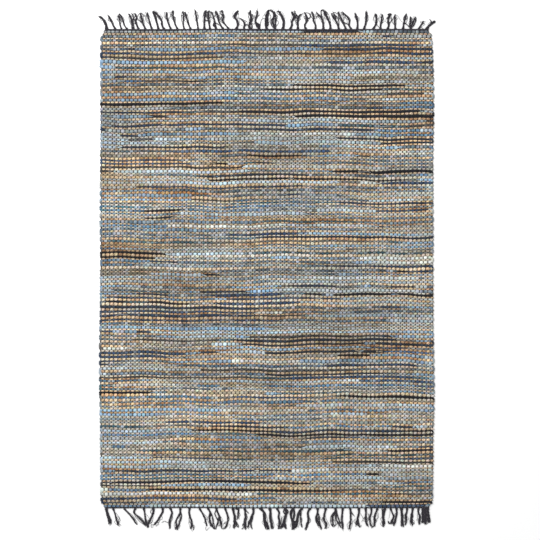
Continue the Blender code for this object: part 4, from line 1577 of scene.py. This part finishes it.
@dataclass
class LooseEnds:
    """The torn rag ends that poke out where strips meet, and the threads that fray off them."""

    TAIL_TAPER: ClassVar[tuple[Span, ...]] = ((-0.4, 0.8), (0, 1.0), (0.6, 0.9), (1, 0.35))

    cloth: Cloth
    rows: list[list[Strip]]
    share: float = 0.45
    edge_room: float = 0.57
    top: float = 0.0066
    lift: float = 0.0004
    tail_lengths: Span = (0.006, 0.020)
    tail_drifts: Span = (0.001, 0.005)
    tail_halves: Span = (0.0012, 0.0023)
    tail_tones: Span = (0.85, 1.25)
    tail_flatness: float = 0.35
    tail_points: int = 5
    tail_sweep: float = 1.5
    tucked: float = 0.4
    tuck_depth: float = 0.0010
    threads: int = 90
    thread_lengths: Span = (0.010, 0.055)
    thread_points: int = 7
    thread_swing: float = 0.0016
    thread_ripple: float = 17
    thread_half: float = 0.00055
    thread_flatness: float = 0.7
    thread_tones: Triple = (1.0, 0.8, 0.25)
    pale: Triple = linear(205, 210, 212)
    pale_reverse: float = 0.1
    sides: int = 4
    map_columns: int = 4
    seed: int = 33

    def tail(self, number: int, strip: Strip, towards: int, chance: random.Random) -> Strand:
        """One torn end, which lies out over the picks beside its own.

        Args:
            number: the pick that it belongs to.
            strip: the strip that it is the end of.
            towards: which of the strip's ends it is, by the sign of X.
            chance: what draws its lie.

        Returns:
            The end as a short flat strand.
        """
        start = strip.end if towards > 0 else strip.start
        length = chance.uniform(*self.tail_lengths)
        drift = chance.choice((-1, 1)) * chance.uniform(*self.tail_drifts)
        shares = np.linspace(-self.tucked, 1, self.tail_points)
        across = start + towards * length * shares
        along = self.cloth.pick_along(number, across) + drift * np.clip(shares, 0, 1) ** self.tail_sweep
        height = self.top - self.tuck_depth * (shares < 0) + self.lift * shares
        half = chance.uniform(*self.tail_halves) * through(self.TAIL_TAPER, shares)
        tone = chance.uniform(*self.tail_tones) * strip.tone
        dye = np.tile([*(np.array(strip.shade.dye) * tone), strip.pale], (len(shares), 1))
        points = np.column_stack((across, along, height))
        return Strand(points, half, half * self.tail_flatness, dye, True, chance.uniform(0, MOST_START))

    def thread(self, chance: random.Random) -> Strand:
        """One fine pale thread that lies along the picks."""
        length = chance.uniform(*self.thread_lengths)
        start = chance.uniform(-self.edge_room, self.edge_room - length)
        number = 2 * chance.randrange(1, self.cloth.picks // 2)
        shares = np.linspace(0, 1, self.thread_points)
        across = start + length * shares
        wander = chance.uniform(0, math.tau)
        along = self.cloth.pick_along(number, across) + self.thread_swing * np.sin(math.tau * shares + wander)
        height = self.top + self.lift * np.sin(self.thread_ripple * shares + wander)
        half = np.full(len(shares), self.thread_half)
        tone = chance.choice(self.thread_tones)
        dye = np.tile([*(np.array(self.pale) * tone), self.pale_reverse], (len(shares), 1))
        points = np.column_stack((across, along, height))
        return Strand(points, half, half * self.thread_flatness, dye, True, chance.uniform(0, MOST_START))

    def build(self, loom: StrandLoom, denim: bpy.types.Material) -> bpy.types.Object:
        """Makes all the loose ends as one piece."""
        chance = random.Random(self.seed)
        strands = []
        for order, row in enumerate(self.rows):
            for strip in row:
                for end, towards in ((strip.start, -1), (strip.end, 1)):
                    if abs(end) < self.edge_room and chance.random() < self.share:
                        strands.append(self.tail(2 * order, strip, towards, chance))
        strands += [self.thread(chance) for _ in range(self.threads)]
        return loom.weave("loose_ends", strands, self.sides, denim, columns=self.map_columns)


@dataclass
class Warp:
    """The dark cotton warps: each is a flat pair of yarns under one pick and over the next.

    Every other warp goes over all the jute, and is dusty with it. The rest go over all the denim.
    """

    cloth: Cloth
    pieces: int = 2
    sides: int = 3
    rise: float = 0.0016
    half_height: float = 0.0013
    over_jute: float = 0.0022
    over_denim: float = 0.0029
    dusty_dye: Triple = linear(72, 56, 42)
    clean_dye: Triple = linear(28, 28, 32)
    tones: Span = (0.75, 1.3)
    sizes: Span = (0.93, 1.07)
    overhang: float = 0.0080
    end_height: float = 0.0024
    seed: int = 5

    def strand(self, number: int, chance: random.Random) -> Strand:
        """Makes one warp from the far heading to the near one."""
        picks = np.arange(self.cloth.picks)
        across = self.cloth.warp_across(number, self.cloth.rest(picks))
        along = self.cloth.pick_along(picks, across)
        over = (picks + number) % 2 == 1
        height = np.where(over, self.cloth.middle + self.rise, self.cloth.middle - self.rise)
        inside = np.column_stack((across, along, height))
        first = [across[0], along[0] + self.overhang, self.end_height]
        last = [across[-1], along[-1] - self.overhang, self.end_height]
        points = np.concatenate(([first], inside, [last]))
        dusty = number % 2 == 0
        half_width = self.over_jute if dusty else self.over_denim
        tone = np.array([chance.uniform(*self.tones) for _ in points])
        dye = np.outer(tone, self.dusty_dye if dusty else self.clean_dye)
        dye = np.column_stack((dye, np.zeros(len(points))))
        size = np.array([chance.uniform(*self.sizes) for _ in points])
        return Strand(points, half_width * size, self.half_height * size, dye, start=chance.uniform(0, 1))

    def build(self, loom: StrandLoom, cotton: bpy.types.Material) -> list[bpy.types.Object]:
        """Makes the warps as a few pieces."""
        chance = random.Random(self.seed)
        warps = [self.strand(number, chance) for number in range(self.cloth.warps)]
        return loom.weave_apart("warp", warps, self.pieces, self.sides, cotton)


@dataclass
class Fringe:
    """One end's twined heading and the knotted warp tassels that hang from it."""

    LINES: ClassVar[int] = 6  # chart lines out from the heading
    YARN_COUNTS: ClassVar[tuple[tuple[float, int], ...]] = ((1.45, 4), (2.0, 5), (math.inf, 7))
    STRAY_COUNTS: ClassVar[tuple[tuple[float, int], ...]] = ((1.0, 1), (1.8, 2), (math.inf, 4))
    # Shares of a tassel's radius by metres out, and of a yarn's width by its share of the way out
    KNOTTED: ClassVar[tuple[Span, ...]] = ((0.0, 1.2), (0.004, 1.3), (0.009, 0.8), (0.020, 1.0))
    YARN_TAPER: ClassVar[tuple[Span, ...]] = ((0, 1.1), (0.1, 1.0), (0.85, 0.9), (1.0, 0.55))
    STRAY_TAPER: ClassVar[tuple[Span, ...]] = ((0, 0.7), (0.15, 1.0), (0.85, 1.0), (1.0, 0.6))

    cloth: Cloth
    name: str
    towards: int
    tassels: tuple[Tassel, ...]
    strays: tuple[Stray, ...]
    seed: int
    heading_gap: float = 0.0006
    heading_width: float = 0.0050
    twine_half: float = 0.0022
    twine_swing: float = 0.0012
    twine_lift: float = 0.0018
    twine_turn: float = 0.0077
    twine_spacing: float = 0.0031
    twine_inset: float = 0.001
    line_pitch: float = 4.0
    bulk: float = 1.30
    least_radius: float = 0.0010
    root: float = 0.003
    reaches: Span = (0.93, 1.0)
    yarn_spacing: float = 0.0045
    fewest_points: int = 6
    yarn_half_width: float = 0.0018
    yarn_height: float = 0.0030
    yarn_sag: float = 0.0006
    lowest: float = 0.0016
    flatness: float = 0.9
    tassel_flatness: float = 0.55
    flare: float = 0.0020
    wiggle: float = 0.0005
    wiggle_rate: float = 90
    twist_length: float = 0.034
    twists: Span = (0.8, 1.4)
    knot_bulk: float = 1.05
    knot_outs: Span = (0.0022, 0.0040)
    knot_overlap: float = 0.3
    knot_points: int = 11
    knot_pitch: float = 0.0003
    knot_half_width: float = 0.0011
    knot_height: float = 0.0031
    knot_rise: float = 0.0020
    knot_start: float = 0.02
    hairs: int = 3
    hair_points: int = 9
    hair_half_width: float = 0.0005
    hair_starts: Span = (0.15, 0.75)
    hair_ends: Span = (0.75, 1.02)
    hair_swells: Span = (0.8, 3.2)
    hair_drift: float = 1.2
    hair_wander: float = 0.18
    hair_ripple: float = 0.3
    hair_ripple_rate: float = 5
    hair_low: float = 0.0012
    hair_rise: float = 0.0016
    hair_start: float = 0.1
    stray_height: float = 0.0032
    stray_flatness: float = 0.5
    points_per_leg: int = 4
    fine_share: float = 0.62
    tones: Span = (0.8, 1.35)
    dye: Triple = linear(38, 34, 42)
    heading_sides: int = 6
    sides: int = 5
    map_columns: int = 4

    def place(self, across: float, out: float, height: float) -> tuple[float, float, float]:
        """A point from chart steps across the rug and metres out from the heading's outer edge."""
        x = (across - MIDDLE_ACROSS) * STEP
        end = self.cloth.length / 2
        edge = end + self.heading_gap + self.heading_width
        return x, self.towards * (edge + out) + float(self.cloth.bow(x, self.towards * end)), height

    def centre(self, tassel: Tassel, out: float) -> float:
        """The tassel's place across the rug, in steps, some metres out, on a smooth line."""
        lines = tassel[: self.LINES]
        last = self.LINES - 1
        at = min(out / STEP / self.line_pitch, last)
        first = min(int(at), last - 1)
        places = [lines[min(max(first + k, 0), last)] for k in (-1, 0, 1, 2)]
        return spline(*places, at - first)

    def gap(self, tassel: Tassel, out: float) -> float:
        """How far apart the tassel's two parts lie, in steps."""
        line = out / STEP / self.line_pitch
        if not tassel.gap or line <= tassel.part:
            return 0.0
        if not tassel.meet:
            return tassel.gap * (line - tassel.part) / (tassel.reach / self.line_pitch - tassel.part)
        if line >= tassel.meet:
            return 0.0
        return tassel.gap * math.sin(math.pi * (line - tassel.part) / (tassel.meet - tassel.part))

    def yarn(
        self, points: Iterable, half: float | np.ndarray, chance: random.Random, start: float = 1.0
    ) -> Strand:
        """Makes a strand of one charcoal yarn.

        Args:
            points: its path.
            half: half its width, the same all along or at each point.
            chance: what draws its tone.
            start: the most thread, in metres, that may lie before its start.

        Returns:
            The strand.
        """
        path = np.array(points)
        half = half * np.ones(len(path))
        tone = chance.uniform(*self.tones)
        dye = np.tile([*(np.array(self.dye) * tone), 0.0], (len(path), 1))
        return Strand(path, half, half * self.flatness, dye, start=chance.uniform(0, start))

    def yarns(self, tassel: Tassel, chance: random.Random) -> list[Strand]:
        """The twisted yarns of one tassel.

        Args:
            tassel: the tassel.
            chance: what draws their twist, lengths and tones.

        Returns:
            The yarns, which part where the tassel parts and fray apart at its tip.
        """
        count = next(count for width, count in self.YARN_COUNTS if tassel.width < width)
        radius = max(self.bulk * tassel.width * STEP / 2 - self.yarn_half_width, self.least_radius)
        phase = chance.uniform(0, math.tau)
        spin = chance.choice((-1, 1)) * math.tau / (self.twist_length * chance.uniform(*self.twists))
        made = []
        for k in range(count):
            reach = tassel.reach * STEP * chance.uniform(*self.reaches)
            outs = np.linspace(-self.root, reach, max(int(reach / self.yarn_spacing), self.fewest_points))
            flare = chance.uniform(-1, 1) * self.flare
            wander = chance.uniform(0, math.tau)
            points = []
            for out in outs:
                past = max(out, 0.0)
                share = past / reach
                angle = phase + math.tau * k / count + spin * out
                part = self.gap(tassel, past) / 2 * (1 if k % 2 else -1)
                spread = radius * float(through(self.KNOTTED, out))
                wiggle = self.wiggle * math.sin(self.wiggle_rate * out + wander)
                aside = spread * math.cos(angle) + flare * share**3 + wiggle
                above = spread * self.tassel_flatness * math.sin(angle)
                height = self.yarn_height - self.yarn_sag * share + above
                across = self.centre(tassel, past) + part + aside / STEP
                points.append(self.place(across, out, max(height, self.lowest)))
            half = self.yarn_half_width * through(self.YARN_TAPER, outs / reach)
            made.append(self.yarn(points, half, chance, reach))
        return made

    def stray_hairs(self, tassel: Tassel, chance: random.Random) -> list[Strand]:
        """The fine fibres that stand off one tassel in open loops, most of them towards its tip."""
        made = []
        reach = tassel.reach * STEP
        for _ in range(self.hairs):
            start = chance.uniform(*self.hair_starts) * reach
            end = chance.uniform(*self.hair_ends) * reach
            swell = chance.choice((-1, 1)) * chance.uniform(*self.hair_swells)
            drift = chance.uniform(-self.hair_drift, self.hair_drift)
            wander = chance.uniform(0, math.tau)
            points = []
            for share in np.linspace(0, 1, self.hair_points):
                stray = self.hair_wander * math.sin(math.tau * share + wander) * share
                ripple = self.hair_ripple * math.sin(self.hair_ripple_rate * share + wander)
                out = start + (end - start) * (share + stray)
                aside = swell * math.sin(math.pi * share) + drift * share + ripple
                height = self.hair_low + self.hair_rise * (1 - share)
                points.append(self.place(self.centre(tassel, out) + aside, out, height))
            made.append(self.yarn(points, self.hair_half_width, chance, self.hair_start))
        return made

    def stray_yarns(self, stray: Stray, chance: random.Random) -> list[Strand]:
        """The one fine yarn, or the few twisted ones, of a stray."""
        line = np.array([((x - MIDDLE_ACROSS) * STEP, (MIDDLE_ALONG - y) * STEP) for x, y in stray.places])
        line = smooth(line, self.points_per_leg)
        half = stray.width * STEP / 2
        count = next(count for width, count in self.STRAY_COUNTS if stray.width < width)
        yarn_half = self.fine_share * half
        if count > 1:
            yarn_half = min(self.yarn_half_width, yarn_half)
        spread = half - yarn_half if count > 1 else 0.0
        run = np.concatenate(([0.0], np.cumsum(np.linalg.norm(np.diff(line, axis=0), axis=1))))
        way = directions(line)
        phase = chance.uniform(0, math.tau)
        made = []
        for k in range(count):
            angle = phase + math.tau * k / count + run * math.tau / self.twist_length
            aside = spread * np.cos(angle)
            height = self.stray_height + self.stray_flatness * spread * np.sin(angle)
            points = np.column_stack((line[:, 0] - way[:, 1] * aside, line[:, 1] + way[:, 0] * aside, height))
            ends = through(self.STRAY_TAPER, np.linspace(0, 1, len(line)))
            made.append(self.yarn(points, yarn_half * ends, chance))
        return made

    def knot(self, tassel: Tassel, chance: random.Random) -> Strand:
        """The turn of yarn that ties one tassel at its root."""
        radius = self.bulk * tassel.width * STEP / 2 * self.knot_bulk
        out = chance.uniform(*self.knot_outs)
        points = []
        for angle in np.linspace(-self.knot_overlap, math.tau + self.knot_overlap, self.knot_points):
            across = self.centre(tassel, out) + radius * math.cos(angle) / STEP
            height = self.knot_height + self.knot_rise * math.sin(angle)
            points.append(self.place(across, out + self.knot_pitch * angle, height))
        return self.yarn(points, self.knot_half_width, chance, self.knot_start)

    def twine(self, chance: random.Random) -> list[Strand]:
        """The two yarns that twist round each other over the last warps."""
        end = self.towards * self.cloth.length / 2
        left = -float(self.cloth.selvedge(end, Side.LEFT)) + self.twine_inset
        right = float(self.cloth.selvedge(end, Side.RIGHT)) - self.twine_inset
        across = np.arange(left, right, self.twine_spacing)
        middle = self.cloth.length / 2 + self.heading_gap + self.heading_width / 2
        lift = max(self.twine_lift, self.flatness * self.twine_half)
        made = []
        for turn in (0.0, math.pi):
            angle = across * math.pi / self.twine_turn + turn
            along = self.towards * (middle + self.twine_swing * np.cos(angle)) + self.cloth.bow(across, end)
            points = np.column_stack((across, along, lift + self.twine_swing * (1 + np.sin(angle))))
            made.append(self.yarn(points, self.twine_half, chance))
        return made

    def build(self, loom: StrandLoom, cotton: bpy.types.Material) -> list[bpy.types.Object]:
        """Makes the heading and the tassels as two pieces."""
        chance = random.Random(self.seed)
        heading = loom.weave(f"heading_{self.name}", self.twine(chance), self.heading_sides, cotton)
        strands: list[Strand] = []
        for tassel in self.tassels:
            strands += self.yarns(tassel, chance)
            strands += self.stray_hairs(tassel, chance)
            strands.append(self.knot(tassel, chance))
        for stray in self.strays:
            strands += self.stray_yarns(stray, chance)
        name = f"tassels_{self.name}"
        return [heading, loom.weave(name, strands, self.sides, cotton, columns=self.map_columns)]


@dataclass(frozen=True)
class Studio:
    """The pale floor, the soft light and the camera straight above."""

    floor_size: float = 12.0
    floor_drop: float = 0.0002
    surround: float = 0.75
    lamp_size: float = 2.4
    lamp_energy: float = 130.0
    lamp_place: Triple = (-1.6, 1.8, 3.4)
    lamp_tilt: Span = (-27.9, -22.6)
    lens: float = 100.0
    sensor: float = 36.0

    def build(self) -> None:
        """Lays the floor and sets up the light and the camera."""
        self.floor()
        self.lights()
        self.camera()

    def floor(self) -> None:
        """Lays a plain floor just under the rug."""
        half = self.floor_size / 2
        corners = [(x * half, y * half, -self.floor_drop) for x, y in ((-1, -1), (1, -1), (1, 1), (-1, 1))]
        mesh = bpy.data.meshes.new("floor")
        mesh.from_pydata(corners, [], [(0, 1, 2, 3)])
        mesh.materials.append(FloorFinish().build())
        floor = bpy.data.objects.new("floor", mesh)
        bpy.context.scene.collection.objects.link(floor)

    def lights(self) -> None:
        """Sets an even white surround and one large soft lamp over the far left."""
        world = bpy.data.worlds.new("surround")
        world.use_nodes = True
        background = world.node_tree.nodes["Background"]
        background.inputs["Color"].default_value = (1.0, 1.0, 1.0, 1.0)
        background.inputs["Strength"].default_value = self.surround
        bpy.context.scene.world = world
        lamp = bpy.data.lights.new("softbox", "AREA")
        lamp.shape = "SQUARE"
        lamp.size = self.lamp_size
        lamp.energy = self.lamp_energy
        softbox = bpy.data.objects.new("softbox", lamp)
        softbox.location = self.lamp_place
        softbox.rotation_euler = (*(math.radians(tilt) for tilt in self.lamp_tilt), 0.0)
        bpy.context.scene.collection.objects.link(softbox)

    def camera(self) -> None:
        """Hangs the camera over the middle of the charts, which fill its picture, with +Y up in it."""
        lens = bpy.data.cameras.new("camera")
        lens.lens = self.lens
        lens.sensor_width = self.sensor
        camera = bpy.data.objects.new("camera", lens)
        across = (CHART_SIZE / 2 - MIDDLE_ACROSS) * STEP
        along = (MIDDLE_ALONG - CHART_SIZE / 2) * STEP
        camera.location = (across, along, CHART_SIZE * STEP * self.lens / self.sensor)
        bpy.context.scene.collection.objects.link(camera)
        bpy.context.scene.camera = camera
        bpy.context.scene.view_settings.view_transform = "Standard"


def main() -> None:
    """Makes the rug piece by piece, then the studio round it."""
    logging.basicConfig(level=logging.INFO, format="%(name)s: %(message)s")
    cloth = Cloth()
    loom = StrandLoom()
    cotton = CottonFinish().build()
    rag = DenimFinish().build()
    denim = DenimThread(cloth)
    rows = denim.rows()
    settling = Settling(cloth, denim, rows)
    sizes = settling.sizes()
    cloth = settling.settle(sizes)
    lots = YarnLots(cloth.width, cloth.length)
    picks = Weft(cloth, denim, rows, sizes, lots)
    weft = picks.build(loom, JuteFinish().build(), rag)
    ends = LooseEnds(cloth, rows).build(loom, rag)
    warp = Warp(cloth).build(loom, cotton)
    far = Fringe(cloth, "top", 1, TOP_TASSELS, TOP_STRAYS, seed=11, twine_half=0.0027, hairs=6)
    near = Fringe(cloth, "bottom", -1, BOTTOM_TASSELS, BOTTOM_STRAYS, seed=12, twine_half=0.0010)
    top = far.build(loom, cotton)
    bottom = near.build(loom, cotton)
    for piece in (*weft, ends):
        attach(piece, BODY)
    for piece in (*warp, *top, *bottom):
        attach(piece, BODY)
    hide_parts("woven_field")
    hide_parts("fringe_top")
    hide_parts("fringe_bottom")
    share = len(range(0, cloth.picks, picks.pieces)) / cloth.picks
    share * cloth.width * cloth.length
    Studio().build()


if __name__ == "__main__":
    main()
